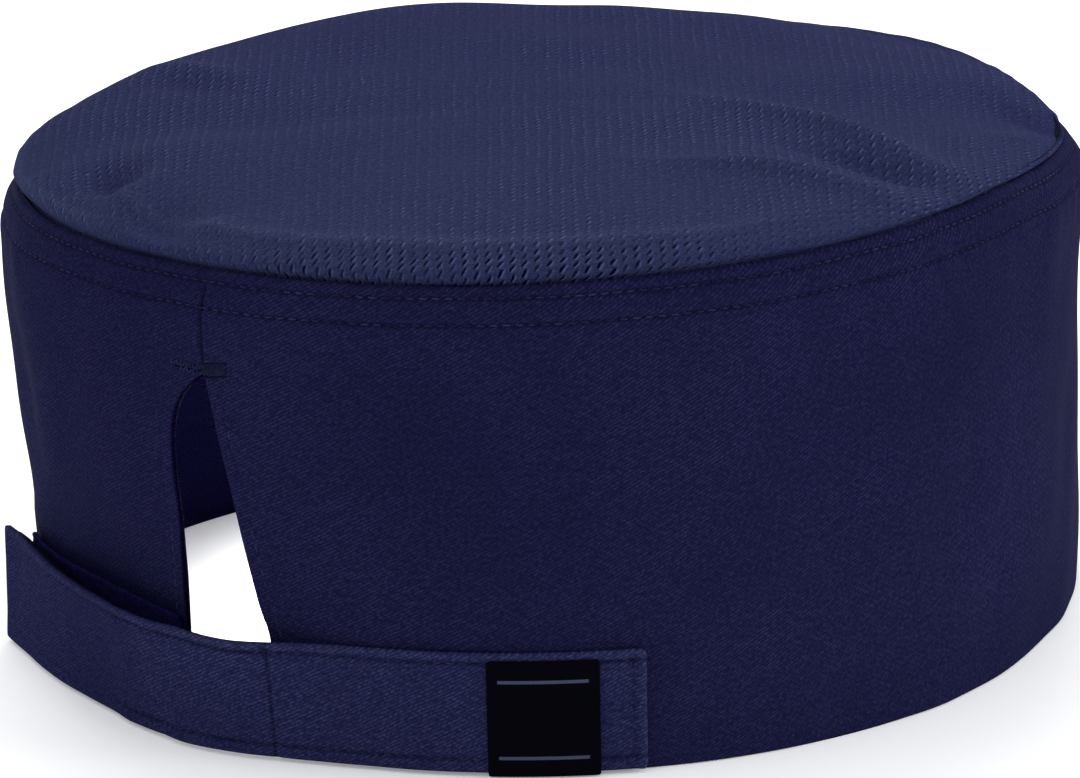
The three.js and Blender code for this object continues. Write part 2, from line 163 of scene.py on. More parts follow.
def oval_side(turn):
    """The outward direction of the rim's oval."""
    along_x = HALF_WIDTH * (np.cos(turn) + BACK_FULLNESS * np.cos(2 * turn))
    along_y = HALF_LENGTH * np.sin(turn)
    length = np.hypot(along_x, along_y)
    return along_y / length, -along_x / length


oval_turns = np.linspace(0, 2 * math.pi, 7201)
oval_steps = np.hypot(*np.diff(np.array(oval_point(oval_turns)), axis=1))
oval_arcs = np.concatenate([[0], np.cumsum(oval_steps)])
ROUND_LENGTH = float(oval_arcs[-1])


def turn_at(arc):
    """The turn of the oval at an arc length round the rim from the middle of the back."""
    return np.interp(np.mod(arc, ROUND_LENGTH), oval_arcs, oval_turns)


def dents_at(dents, arc, share):
    """Depth of the wall's soft dents."""
    depth = 0.0
    for dent in dents.values():
        centre = (dent["round"] + dent["lean"] * (share - dent["height"])) * ROUND_LENGTH
        away = np.mod(arc - centre + ROUND_LENGTH / 2, ROUND_LENGTH) - ROUND_LENGTH / 2
        across = away / (dent["wide"] * ROUND_LENGTH)
        up = (share - dent["height"]) / dent["tall"]
        depth = depth + dent["depth"] * DENT_DEPTH * np.exp(-across**2 - up**2)
    return depth


def wall_point(arc, height, out):
    """A point of the wall's outer face, or out millimetres off it."""
    arc, height, out = np.broadcast_arrays(arc, height, out)
    turn = turn_at(arc)
    share = height / WALL_HEIGHT
    foot_x, foot_y = oval_point(turn)
    side_x, side_y = oval_side(turn)
    slump = -(SLUMP_FRONT * np.cos(turn) + SLUMP_LEFT * np.sin(turn)) * share**2
    roll_start = WALL_HEIGHT - ROLL_HEIGHT
    foot = FOOT_TUCK * np.clip(1 - height / roll_start, 0, None) ** FOOT_POWER
    roll = ROLL_TUCK * (np.clip(height - roll_start, 0, None) / ROLL_HEIGHT) ** 2
    offset = slump - foot - roll - dents_at(WALL_DENTS, arc, share) + out
    rise = read_table(SEAM_ROUND, "round", "rise", np.mod(arc, ROUND_LENGTH) / ROUND_LENGTH)
    lift = height + rise * SEAM_WAVER * share
    return np.stack([foot_x + side_x * offset, foot_y + side_y * offset, lift], axis=-1)


def hem_arc(side, height):
    """The edge of the slit as an arc length from the middle of the back."""
    return read_table(SLIT_HEMS, "height", side, height / SLIT_TOP) * SLIT_WIDTH


def fold(distance, radius):
    """How far a rounded edge drops back at a distance in from it."""
    inside = np.clip(radius - distance, 0, radius)
    return radius - np.sqrt(radius**2 - inside**2)


def ridge(distance, width):
    """A soft ridge, 1 at its middle."""
    return np.exp(-((distance / width) ** 2))


def ease_between(value, start, end):
    """0 before start, 1 after end, smooth between them."""
    part = np.clip((value - start) / (end - start), 0, 1)
    return part * part * (3 - 2 * part)


def ripples(arc, height, seed, waves, longest, shortest):
    """Small irregular unevenness of sewn cloth that closes round the cap, about 1 deep."""
    rng = np.random.default_rng(seed)
    total = 0.0
    for _ in range(waves):
        length = math.exp(rng.uniform(math.log(shortest), math.log(longest)))
        heading = rng.uniform(0, 2 * math.pi)
        turns = round(ROUND_LENGTH / length * math.cos(heading))
        upward = 2 * math.pi / length * math.sin(heading)
        phase = rng.uniform(0, 2 * math.pi)
        total = total + np.cos(2 * math.pi * turns * arc / ROUND_LENGTH + upward * height + phase)
    return total / math.sqrt(waves)


def to_hem(arc, height):
    """The distance along the band from the nearer hem of the slit."""
    return np.minimum(arc - hem_arc("right", height), ROUND_LENGTH + hem_arc("left", height) - arc)


def band_fold(arc, height):
    """How far the band's faces draw together at its folded edges."""
    edges = fold(height, FOLD_RADIUS) + fold(WALL_HEIGHT - height, FOLD_RADIUS)
    edges = edges + np.where(height < SLIT_TOP, fold(to_hem(arc, height), FOLD_RADIUS), 0)
    return np.minimum(edges, FOLD_RADIUS)


def band_relief(arc, height):
    """How far the band's outer face stands off the plain wall: hems, seams, rows of stitching."""
    from_hem = to_hem(arc, height)
    at_seam = np.minimum(arc, ROUND_LENGTH - arc)
    below_slit_top = 1 - ease_between(height, SLIT_TOP - 4, SLIT_TOP)
    relief = -dents_at(SOFT_DENTS, arc, height / WALL_HEIGHT)
    relief = relief + 0.24 * ripples(arc, height, 5, 24, 60, 16)
    near_arc = np.mod(arc + ROUND_LENGTH / 2, ROUND_LENGTH) - ROUND_LENGTH / 2
    beside = ease_between(near_arc, -84, -79) * (1 - ease_between(near_arc, 80, 85))
    for row in TOP_ROWS:
        relief = relief - SEW_DEPTH * ridge(height - row, SEW_SPREAD)
    relief = relief + 0.16 * ridge(height - sum(TOP_ROWS) / 2, 1.1)
    pucker = ripples(arc, height * 0.4, 11, 14, 14, 6)
    relief = relief + 0.14 * pucker * ridge(height - TOP_ROWS[0] + 2.5, 3.5)
    hem = below_slit_top * (1 - ease_between(from_hem, HEM_ROW, HEM_ROW + 1.4))
    relief = relief + HEM_DEPTH * hem
    relief = relief - 0.30 * below_slit_top * ridge(from_hem - HEM_ROW, SEW_SPREAD)
    above_slit = ease_between(height, SLIT_TOP + 0.5, SLIT_TOP + 3) * (1 - ease_between(height, 79, 80))
    relief = relief - above_slit * (SEAM_GROOVE * ridge(at_seam, 0.28) - 0.10 * ridge(at_seam - 1.6, 1.2))
    relief = relief - 0.35 * ridge(height - SLIT_TOP - 0.8, 2.2) * ridge(near_arc - 1, 6)
    relief = relief * (1 - beside * (1 - ease_between(height, 21, 26)))
    return relief - band_fold(arc, height)


def band_lining(arc, height):
    """How far the band's inner face stands off the plain wall."""
    return band_fold(arc, height) - BAND_THICKNESS


def grades(*stretches):
    """Places along a cloth from stretches of (start, end, step), one after the other."""
    places = []
    for start, end, step in stretches:
        count = max(1, round((end - start) / step))
        places.extend(np.linspace(start, end, count + 1)[0 if not places else 1 :])
    return np.array(places)


def cloth_shell(name, outer, inner, chart, marks, joined_rows=None, disc=False):
    """A closed piece of cloth from the grids of its outer and inner face, columns by rows by xyz
    in millimetres. chart holds the cloth's own places in millimetres, for its UV map, and marks a
    value for each point of the outer and of the inner face, under its name. The last column meets
    the first at joined_rows, or all round on a disc, whose last row is its middle."""
    columns, rows = outer.shape[:2]
    count = columns * rows
    ids = np.arange(count).reshape(columns, rows)
    if disc:
        ids[-1] = ids[0]
        ids[:, -1] = ids[0, -1]
    elif joined_rows is not None:
        ids[-1, joined_rows] = ids[0, joined_rows]
    faces, corners = [], []

    def add_faces(loops, places, turned=False):
        faces.extend((loops[:, ::-1] if turned else loops).tolist())
        corners.append((places[:, ::-1] if turned else places).reshape(-1, 2))

    def quads_of(grid):
        quads = np.stack([grid[:-1, :-1], grid[1:, :-1], grid[1:, 1:], grid[:-1, 1:]], axis=2)
        return quads.reshape(-1, 4, *grid.shape[2:])

    spread = rows - 1 if disc else rows
    for layer, turned in ((0, False), (count, True)):
        add_faces(quads_of(ids[:, :spread]) + layer, quads_of(chart[:, :spread]), turned)
        if disc:
            fan = np.stack([ids[:-1, -2], ids[1:, -2], ids[1:, -1]], axis=1)
            places = np.stack([chart[:-1, -2], chart[1:, -2], chart[1:, -1]], axis=1)
            add_faces(fan + layer, places, turned)
    for row, turned in ((0, False), (rows - 1, True)):
        if disc and turned:
            continue
        near, far = (ids[:-1, row], ids[1:, row])
        edge = np.stack([near + count, far + count, far, near], axis=1)
        line = chart[:, row]
        add_faces(edge, np.stack([line[:-1], line[1:], line[1:], line[:-1]], axis=1), turned)
    for column, turned in ((0, True), (columns - 1, False)):
        if disc:
            continue
        near, far = ids[column, :-1], ids[column, 1:]
        edge = np.stack([near, near + count, far + count, far], axis=1)
        line = chart[column]
        places = np.stack([line[:-1], line[:-1], line[1:], line[1:]], axis=1)
        parted = np.ones(len(edge), dtype=bool)
        if joined_rows is not None:
            parted = ~(joined_rows[:-1] & joined_rows[1:])
        add_faces(edge[parted], places[parted], turned)
    points = np.concatenate([outer.reshape(-1, 3), inner.reshape(-1, 3)])
    used = np.unique(np.concatenate([np.array(face) for face in faces]))
    renumber = np.zeros(len(points), dtype=int)
    renumber[used] = np.arange(len(used))
    mesh = bpy.data.meshes.new(name)
    places = ((points[used] + RIM_MIDDLE) * MM).tolist()
    mesh.from_pydata(places, [], [renumber[face].tolist() for face in faces])
    layer = mesh.uv_layers.new(name="cloth")
    layer.data.foreach_set("uv", np.concatenate(corners).reshape(-1).astype(np.float32))
    for mark, (outside, inside) in marks.items():
        values = np.stack([np.broadcast_to(side, (columns, rows)) for side in (outside, inside)])
        attribute = mesh.attributes.new(mark, "FLOAT", "POINT")
        attribute.data.foreach_set("value", values.reshape(-1)[used].astype(np.float32))
    mesh.polygons.foreach_set("use_smooth", np.ones(len(mesh.polygons), dtype=bool))
    mesh.update()
    piece = bpy.data.objects.new(name, mesh)
    bpy.context.scene.collection.objects.link(piece)
    return piece


class Wire:
    """A node's output socket. Sums written with it add the Math nodes that work them out."""

    def __init__(self, tree, socket):
        self.tree = tree
        self.socket = socket

    def math(self, operation, *values):
        return node(self.tree, "ShaderNodeMath", {"operation": operation}, dict(enumerate(values)))

    def __add__(self, other):
        return self.math("ADD", self, other)

    def __radd__(self, other):
        return self.math("ADD", other, self)

    def __sub__(self, other):
        return self.math("SUBTRACT", self, other)

    def __rsub__(self, other):
        return self.math("SUBTRACT", other, self)

    def __mul__(self, other):
        return self.math("MULTIPLY", self, other)

    def __rmul__(self, other):
        return self.math("MULTIPLY", other, self)

    def __truediv__(self, other):
        return self.math("DIVIDE", self, other)

    def __pow__(self, other):
        return self.math("POWER", self, other)

    def cos(self):
        return self.math("COSINE", self)

    def floor(self):
        return self.math("FLOOR", self)

    def fract(self):
        return self.math("FRACT", self)

    def size(self):
        return self.math("ABSOLUTE", self)

    def least(self, other):
        return self.math("MINIMUM", self, other)

    def between(self, start, end):
        """0 up to start, 1 from end on, smooth between them."""
        settings = {"interpolation_type": "SMOOTHSTEP"}
        return node(self.tree, "ShaderNodeMapRange", settings, {0: self, 1: start, 2: end})


def node(tree, kind, settings=None, sockets=None, output=0):
    """Adds a node: its type, its settings, then its sockets' values or the wires into them."""
    made = tree.nodes.new(kind)
    for name, value in (settings or {}).items():
        setattr(made, name, value)
    for place, value in (sockets or {}).items():
        if isinstance(value, Wire):
            tree.links.new(value.socket, made.inputs[place])
        else:
            made.inputs[place].default_value = value
    return Wire(tree, made.outputs[output] if len(made.outputs) > 0 else None)


def new_cloth_tree(name):
    """An empty material and its node tree."""
    material = bpy.data.materials.new(name)
    material.use_nodes = True
    material.node_tree.nodes.clear()
    return material, material.node_tree


def cloth_places(tree):
    """The cloth's own places in millimetres, from its UV map."""
    chart = node(tree, "ShaderNodeUVMap", {"uv_map": "cloth"})
    along = node(tree, "ShaderNodeSeparateXYZ", None, {0: chart})
    return chart, along, Wire(tree, along.socket.node.outputs[1])


def mark_of(tree, name):
    """A value marked on the cloth's points."""
    return node(tree, "ShaderNodeAttribute", {"attribute_name": name}, None, 2)


def chance(tree, first, second):
    """A random number from 0 to 1 for each pair of whole numbers."""
    pair = node(tree, "ShaderNodeCombineXYZ", None, {0: first, 1: second})
    return node(tree, "ShaderNodeTexWhiteNoise", {"noise_dimensions": "2D"}, {"Vector": pair})


def mottle(tree, where, scale, detail=2.0, roughness=0.5):
    """Soft noise from 0 to 1 over a piece."""
    sockets = {"Vector": where, "Scale": scale, "Detail": detail, "Roughness": roughness}
    return node(tree, "ShaderNodeTexNoise", None, sockets)


def tint(tree, share, low, high):
    """A colour between two colours."""
    colours = {0: share, 6: (*low, 1.0), 7: (*high, 1.0)}
    return node(tree, "ShaderNodeMix", {"data_type": "RGBA"}, colours, 2)


def dim(tree, colour, share):
    """A colour times a number."""
    grey = node(tree, "ShaderNodeCombineColor", None, {0: share, 1: share, 2: share})
    sockets = {0: 1.0, 6: colour, 7: grey}
    return node(tree, "ShaderNodeMix", {"data_type": "RGBA", "blend_type": "MULTIPLY"}, sockets, 2)


def shaded(tree, colour):
    """A colour times the cloth's painted shade and highlight. Deep painted shade turns it bluer."""
    shade = mark_of(tree, "shade")
    tinge = node(tree, "ShaderNodeCombineColor", None, {0: shade**1.3, 1: shade**1.5, 2: shade**0.8})
    sockets = {0: 1.0, 6: colour, 7: tinge}
    return node(tree, "ShaderNodeMix", {"data_type": "RGBA", "blend_type": "MULTIPLY"}, sockets, 2)


def finish_cloth(tree, colour, relief, depth, roughness, sheen=0.0):
    """The cloth's shader: its colour, and its relief from 0 to 1 as a bump, depth millimetres deep."""
    bump = {"Strength": 1.0, "Distance": depth * MM, "Height": relief}
    looks = {
        "Base Color": colour,
        "Roughness": roughness,
        "Specular IOR Level": CLOTH_GLOSS,
        "Sheen Weight": sheen,
        "Sheen Roughness": 0.5,
        "Sheen Tint": SHEEN_TINT,
        "Normal": node(tree, "ShaderNodeBump", None, bump),
    }
    shader = node(tree, "ShaderNodeBsdfPrincipled", None, looks)
    node(tree, "ShaderNodeOutputMaterial", None, {"Surface": shader})


TWILL_ANGLE = math.radians(27)
TWILL_PITCH = 0.56
FLOAT_LENGTH = 1.05
FLOAT_STAGGER = 0.37
TWILL_BUMP = 0.11
SEAM_FADE = 12.0


def twill_finish(name, dark, light, sewn_rows=(), sewn_across=(), sewn_from=-1000.0):
    """Navy twill: slanting ribs made of short floats. sewn_rows are the heights where it is sewn,
    from the place sewn_from along it on, and sewn_across the places where it is sewn across.
    Along these the colour is darkened as painted shade of the sunk seams."""
    material, tree = new_cloth_tree(name)
    chart, u, v = cloth_places(tree)
    metres = node(tree, "ShaderNodeTexCoord", None, None, 3)
    sway = mottle(tree, chart, 0.12) * 0.9 + mottle(tree, chart, 0.9) * 0.22
    across = v * math.cos(TWILL_ANGLE) - u * math.sin(TWILL_ANGLE) + sway
    along = u * math.cos(TWILL_ANGLE) + v * math.sin(TWILL_ANGLE)
    rib = (across * (2 * math.pi / TWILL_PITCH)).cos() * 0.5 + 0.5
    line = (across / TWILL_PITCH + 0.5).floor()
    place = along / FLOAT_LENGTH + line * FLOAT_STAGGER
    beat = (place * (2 * math.pi)).cos() * -0.5 + 0.5
    yarn = chance(tree, line, place.floor())
    weave = rib * (beat * 0.5 + 0.5) * (yarn * 0.75 + 0.25)
    slub = mottle(tree, chart, 1.5, 3.0, 0.6).between(0.25, 0.75)
    patches = mottle(tree, metres, 24.0, 3.0, 0.6).between(0.32, 0.72)
    shine = weave * (patches * 0.55 + 0.30) + slub * 0.42
    colour = tint(tree, shine.between(0.05, 0.95), dark, light)
    brightness = mottle(tree, metres, 9.0, 2.0) * 0.26 + 0.87
    # Painted shade: the colour darkens along the sunk rows of stitching.
    for place, rows in ((v, sewn_rows), (u, sewn_across)):
        for row in rows:
            sunk = 1 - ((place - row).size() / 0.55).least(1.0)
            brightness = brightness * (1 - sunk * u.between(sewn_from, sewn_from + SEAM_FADE) * 0.5)
    colour = shaded(tree, dim(tree, colour, brightness))
    relief = weave * (patches * 0.5 + 0.35) + slub * 0.4
    finish_cloth(tree, colour, relief, TWILL_BUMP, 0.92 - weave * 0.1)
    return material


hem_columns = [0, 0.12, 0.3, 0.55, 0.9, 1.4, 1.9, 2.3, 2.6, 2.9, 3.3, 3.8, 4.5, 5.3, 6.2, 7.2]
band_columns = np.concatenate(
    [hem_columns, grades((7.2, ROUND_LENGTH - 7.2, 1.35))[1:-1], ROUND_LENGTH - np.array(hem_columns)[::-1]]
)
band_rows = grades(
    (0, 0.6, 0.15),
    (0.6, 3.4, 0.9),
    (3.4, 60, 1.7),
    (60, SLIT_TOP, 0.7),
    (SLIT_TOP, 74.5, 1.0),
    (74.5, 75.5, 0.5),
    (75.5, 77.0, 0.25),
    (77.0, 79.5, 0.6),
    (79.5, 81.0, 0.25),
    (81.0, WALL_HEIGHT, 0.17),
)
column, height = np.meshgrid(band_columns, band_rows, indexing="ij")
near_start = np.clip(1 - column / HEM_BLEND, 0, 1)
near_end = np.clip(1 - (ROUND_LENGTH - column) / HEM_BLEND, 0, 1)
arc = column + hem_arc("right", height) * near_start + hem_arc("left", height) * near_end
from_left_hem = ROUND_LENGTH + hem_arc("left", height) - arc
# Painted shade on the left hem's edge face below the slit's top.
hem_edge = (height < SLIT_TOP) * (1 - ease_between(from_left_hem, 0.0, 0.6))
# Painted light: the band grows lighter toward its foot, standing for light thrown up by the table.
low_edge = 1 - ease_between(height, 0, 60)
# Painted shadow on the band along the top of the loop tape, under the strap's edge.
over_tape = ease_between(from_left_hem, *TAPE_ENDS[:2]) * (1 - ease_between(from_left_hem, *TAPE_ENDS[2:]))
over_tape = over_tape * (1 - ease_between(height, TAPE_TOP, TAPE_TOP + TAPE_SHADE_REACH))
# band_shade gathers the painted shade, shadow and light marked on the band's face above.
band_shade = (1 - HEM_EDGE_SHADE * hem_edge) * (1 + LOW_EDGE_LIGHT * low_edge) * (1 - TAPE_SHADE * over_tape)
band = cloth_shell(
    "band_cloth",
    wall_point(arc, height, band_relief(arc, height)),
    wall_point(arc, height, band_lining(arc, height)),
    np.stack([arc, height], axis=-1),
    {"shade": (band_shade, INSIDE_SHADE)},
    joined_rows=band_rows >= SLIT_TOP - 1e-6,
)
band.data.materials.append(
    twill_finish("navy_twill", (0.0058, 0.0057, 0.0290), (0.0185, 0.0190, 0.0640), TOP_ROWS)
)
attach(band, "root")
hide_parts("band")

# ---- Topstitching of the band ----
# Two rows of navy thread run round under the crown seam, and one row follows each hem of the
# slit. Each stitch is a short arched length of spun thread that dips into the cloth at its ends.

THREAD_RADIUS = 0.17
THREAD_BUMP = 0.03
THREAD_SHEEN = 0.05
STITCH_PITCH = 2.15
STITCH_LENGTH = 1.5
STITCH_RISE = 0.30


def stitch_tree():
    """Geometry nodes that lay stitches of thread end to end along a path on the cloth."""
    tree = bpy.data.node_groups.new("stitches", "GeometryNodeTree")
    inputs = (
        ("Path", "NodeSocketGeometry"),
        ("Pitch", "NodeSocketFloat"),
        ("Stitch Length", "NodeSocketFloat"),
        ("Thread Radius", "NodeSocketFloat"),
        ("Rise", "NodeSocketFloat"),
        ("Turn", "NodeSocketFloat"),
        ("Unevenness", "NodeSocketFloat"),
        ("Seed", "NodeSocketInt"),
        ("Thread", "NodeSocketMaterial"),
    )
    for name, kind in inputs:
        tree.interface.new_socket(name=name, in_out="INPUT", socket_type=kind)
    tree.interface.new_socket(name="Stitches", in_out="OUTPUT", socket_type="NodeSocketGeometry")
    given = tree.nodes.new("NodeGroupInput")
    path, pitch, length, radius, rise, turn, uneven, seed, thread = (
        Wire(tree, given.outputs[name]) for name, _ in inputs
    )
    line = node(tree, "GeometryNodeMeshToCurve", None, {0: path})
    spaced = node(tree, "GeometryNodeResampleCurve", {"mode": "LENGTH"}, {"Curve": line, "Length": pitch})
    outward = node(
        tree, "GeometryNodeInputNamedAttribute", {"data_type": "FLOAT_VECTOR"}, {"Name": "outward"}
    )
    tangent = node(tree, "GeometryNodeInputTangent")
    axes = {"primary_axis": "Z", "secondary_axis": "X"}
    facing = node(tree, "FunctionNodeAxesToRotation", axes, {0: outward, 1: tangent})
    slack = node(tree, "FunctionNodeRandomValue", None, {2: uneven * -1.0, 3: uneven, "Seed": seed}, 1)
    spin = node(tree, "ShaderNodeCombineXYZ", None, {2: turn + slack})
    twist = node(tree, "FunctionNodeEulerToRotation", None, {0: spin})
    local = {"rotation_space": "LOCAL"}
    turned = node(tree, "FunctionNodeRotateRotation", local, {0: facing, 1: twist})
    half = length * 0.5
    bend = {
        "Resolution": 6,
        "Start": node(tree, "ShaderNodeCombineXYZ", None, {0: half * -1.0, 2: radius * -1.2}),
        "Middle": node(tree, "ShaderNodeCombineXYZ", None, {2: rise}),
        "End": node(tree, "ShaderNodeCombineXYZ", None, {0: half, 2: radius * -1.2}),
    }
    arch = node(tree, "GeometryNodeCurveQuadraticBezier", None, bend)
    circle = node(tree, "GeometryNodeCurvePrimitiveCircle", None, {"Resolution": 6, "Radius": radius})
    stitch = node(
        tree,
        "GeometryNodeCurveToMesh",
        None,
        {"Curve": arch, "Profile Curve": circle, "Fill Caps": True},
    )
    laid = node(
        tree,
        "GeometryNodeInstanceOnPoints",
        None,
        {"Points": spaced, "Instance": stitch, "Rotation": turned},
    )
    real = node(tree, "GeometryNodeRealizeInstances", None, {0: laid})
    finished = node(tree, "GeometryNodeSetMaterial", None, {"Geometry": real, "Material": thread})
    tree.links.new(finished.socket, tree.nodes.new("NodeGroupOutput").inputs[0])
    return tree


STITCHES = stitch_tree()


def thread_finish(name, dark, light):
    """Spun polyester thread: fine slanting plies with a low sheen."""
    material, tree = new_cloth_tree(name)
    metres = node(tree, "ShaderNodeTexCoord", None, None, 3)
    ply = node(
        tree,
        "ShaderNodeTexWave",
        {"wave_type": "BANDS", "bands_direction": "DIAGONAL"},
        {"Vector": metres, "Scale": 900.0, "Distortion": 2.0, "Detail": 1.0},
        1,
    )
    uneven = mottle(tree, metres, 180.0).between(0.3, 0.7) * mottle(tree, metres, 25.0).between(0.2, 0.6)
    colour = tint(tree, ply * 0.25 + uneven * 0.75, dark, light)
    finish_cloth(tree, colour, ply, THREAD_BUMP, 0.75 - ply * 0.15, THREAD_SHEEN)
    return material


navy_thread = thread_finish("navy_thread", (0.0035, 0.0036, 0.024), (0.028, 0.030, 0.088))


def sew(name, surface, rows, thread, length=STITCH_LENGTH, pitch=STITCH_PITCH, rise=STITCH_RISE,
        turn=0.0, uneven=0.14, seed=1, radius=THREAD_RADIUS):
    """Sews rows of stitches on a surface. Each row is a list of (arc, height) in millimetres."""
    points, sides, edges = [], [], []
    for row in rows:
        row = np.array(row, dtype=float)
        run = np.concatenate([[0], np.cumsum(np.hypot(*np.diff(row, axis=0).T))])
        places = np.linspace(0, run[-1], max(8, int(run[-1] / 0.9)))
        arcs, heights = np.interp(places, run, row[:, 0]), np.interp(places, run, row[:, 1])
        step = 0.25
        along = surface(arcs + step, heights) - surface(arcs - step, heights)
        up = surface(arcs, heights + step) - surface(arcs, heights - step)
        side = np.cross(along, up)
        first = len(points)
        points.extend((surface(arcs, heights) + RIM_MIDDLE) * MM)
        sides.extend(side / np.linalg.norm(side, axis=1, keepdims=True))
        edges.extend((k, k + 1) for k in range(first, len(points) - 1))
    mesh = bpy.data.meshes.new(name)
    mesh.from_pydata([tuple(p) for p in points], edges, [])
    outward = mesh.attributes.new("outward", "FLOAT_VECTOR", "POINT")
    outward.data.foreach_set("vector", np.array(sides, dtype=np.float32).reshape(-1))
    sewn = bpy.data.objects.new(name, mesh)
    bpy.context.scene.collection.objects.link(sewn)
    laying = sewn.modifiers.new("stitches", "NODES")
    laying.node_group = STITCHES
    values = {
        "Pitch": pitch * MM,
        "Stitch Length": length * MM,
        "Thread Radius": radius * MM,
        "Rise": rise * MM,
        "Turn": turn,
        "Unevenness": uneven,
        "Seed": seed,
        "Thread": thread,
    }
    for item in STITCHES.interface.items_tree:
        if item.in_out == "INPUT" and item.name in values:
            laying[item.identifier] = values[item.name]
    graph = bpy.context.evaluated_depsgraph_get()
    plain = bpy.data.meshes.new_from_object(sewn.evaluated_get(graph))
    sewn.modifiers.clear()
    sewn.data = plain
    bpy.data.meshes.remove(mesh)
    plain.name = name
    plain.polygons.foreach_set("use_smooth", np.ones(len(plain.polygons), dtype=bool))
    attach(sewn, "root")


def band_face(arc, height):
    """A point of the band's outer face."""
    return wall_point(arc, height, band_relief(np.mod(arc, ROUND_LENGTH), height))


hem_heights = np.linspace(21.5, SLIT_TOP - 3.5, 14)
band_stitch_rows = [[(0.8, row), (ROUND_LENGTH - 0.8, row)] for row in TOP_ROWS]
band_stitch_rows.append([(hem_arc("right", h) + HEM_ROW, h) for h in hem_heights])
band_stitch_rows.append([(ROUND_LENGTH + hem_arc("left", h) - HEM_ROW, h) for h in hem_heights[:8]])
sew("band_stitching", band_face, band_stitch_rows, navy_thread)

# ---- Bar tack ----
# A dense bar of dark zigzag thread across the top of the slit, which keeps it from tearing further
# up. Looser stitches begin and end it, and near-black lines along its edges are painted shadow
# of the groove it presses into the twill.

TACK_HEIGHT = 1.9
TACK_RADIUS = 0.13
tack_thread = thread_finish("tack_thread", (0.0018, 0.0028, 0.011), (0.014, 0.019, 0.044))
tack_bar = [[(0.2, SLIT_TOP + 0.4), (5.0, SLIT_TOP + 1.2)]]
sew("bar_tack", band_face, tack_bar, tack_thread, length=TACK_HEIGHT, pitch=0.31, rise=0.75,
    turn=math.pi / 2, seed=4, radius=TACK_RADIUS)
tack_ends = [
    [(-6.4, SLIT_TOP + 1.2), (0.2, SLIT_TOP + 0.9)],
    [(-4.4, SLIT_TOP + 0.3), (0.0, SLIT_TOP - 0.2)],
    [(5.1, SLIT_TOP + 1.6), (6.2, SLIT_TOP + 1.1)],
    [(5.9, SLIT_TOP + 0.6), (6.6, SLIT_TOP - 0.4)],
]
sew("bar_tack_ends", band_face, tack_ends, navy_thread, length=1.2, pitch=0.62, rise=0.6,
    turn=1.4, uneven=0.8, seed=9, radius=TACK_RADIUS)
# Painted shadow: near-black threads along the bar's edges stand for the shade in its grooves.
tack_edge_shadows = [
    [(0.0, SLIT_TOP + 1.55), (5.2, SLIT_TOP + 2.3)],
    [(-5.8, SLIT_TOP + 0.4), (-0.4, SLIT_TOP + 0.2)],
    [(0.4, SLIT_TOP - 0.75), (5.2, SLIT_TOP + 0.05)],
]
shade_thread = thread_finish("shade_thread", (0.0008, 0.0008, 0.006), (0.0030, 0.0030, 0.016))
sew("bar_tack_edge_shadows", band_face, tack_edge_shadows, shade_thread, length=1.0, pitch=0.6, rise=0.12,
    uneven=0.35, seed=6, radius=0.20)

# ---- Crown ----
# The round top, cut from one disc of soft navy vent mesh. It puffs up over the band, rolls over a
# soft shoulder, and its edge goes down inside the band's top edge, where the seam holds it.

CROWN_THICKNESS = 1.0
SEAM_ALLOWANCE = 10.0
CROWN_PUFF = 12.0
CROWN_DOME = 3.2
CROWN_OVERHANG = 1.8
SHOULDER_RIDGE = 0.9
FOLD_HEIGHT = 2.4
SHOULDER_POWER = 11
SHOULDER_ROUNDNESS = 2.2
MIDDLE_PUFF = 0.5
OVERHANG_LEVEL = 0.011
RIDGE_REACH = 0.93
RIDGE_SPREAD = 0.03
DRAPE_DEPTH = 0.34
GATHER_DEPTH = 0.09
MESH_TURN = math.radians(-39)

# Shares of the way round where the crown's gaping slits near the back, and its painted highlight at the
# left, begin, are full, fade and end
NEAR_BACK = (0.0, 0.025, 0.13, 0.21)
AT_LEFT = (0.80, 0.86, 0.93, 0.97)

# x and y are shares of the half width and half length, turn is in degrees, long and wide are
# shares of HALF_LENGTH, rise is a share of FOLD_HEIGHT.
CROWN_FOLDS = {
    "right ridge": dict(x=0.50, y=0.13, turn=175, long=0.30, wide=0.07, rise=0.6),
    "near right ridge": dict(x=0.73, y=-0.15, turn=18, long=0.26, wide=0.06, rise=0.5),
    "right valley": dict(x=0.72, y=0.02, turn=7, long=0.20, wide=0.06, rise=-0.6),
    "left dimple": dict(x=-0.44, y=-0.77, turn=146, long=0.13, wide=0.07, rise=-1.0),
    "left ridge": dict(x=-0.34, y=-0.82, turn=100, long=0.10, wide=0.06, rise=0.6),
    "back dimple": dict(x=-0.19, y=-0.89, turn=148, long=0.09, wide=0.06, rise=-0.8),
}
FINE_FOLDS = {
    "right ridge": dict(x=0.50, y=0.13, turn=175, long=0.26, wide=0.030, rise=0.80),
    "near right ridge": dict(x=0.73, y=-0.15, turn=18, long=0.23, wide=0.028, rise=0.75),
    "right valley": dict(x=0.72, y=0.02, turn=7, long=0.14, wide=0.035, rise=-0.65),
    "right corner ridge": dict(x=0.94, y=-0.25, turn=72, long=0.08, wide=0.030, rise=0.40),
    "right dimple": dict(x=0.60, y=0.62, turn=159, long=0.10, wide=0.045, rise=-0.90),
    "right end ridge": dict(x=0.69, y=0.47, turn=82, long=0.07, wide=0.035, rise=0.40),
    "left dimple": dict(x=-0.44, y=-0.77, turn=146, long=0.09, wide=0.045, rise=-1.00),
    "left ridge": dict(x=-0.34, y=-0.82, turn=100, long=0.08, wide=0.028, rise=0.75),
    "back dimple": dict(x=-0.19, y=-0.89, turn=148, long=0.06, wide=0.038, rise=-0.60),
    "back ridge": dict(x=-0.07, y=-0.88, turn=80, long=0.05, wide=0.026, rise=0.45),
    "far left ridge": dict(x=-0.80, y=-0.20, turn=175, long=0.09, wide=0.035, rise=0.45),
    "far left valley": dict(x=-0.72, y=-0.28, turn=3, long=0.08, wide=0.045, rise=-0.45),
}


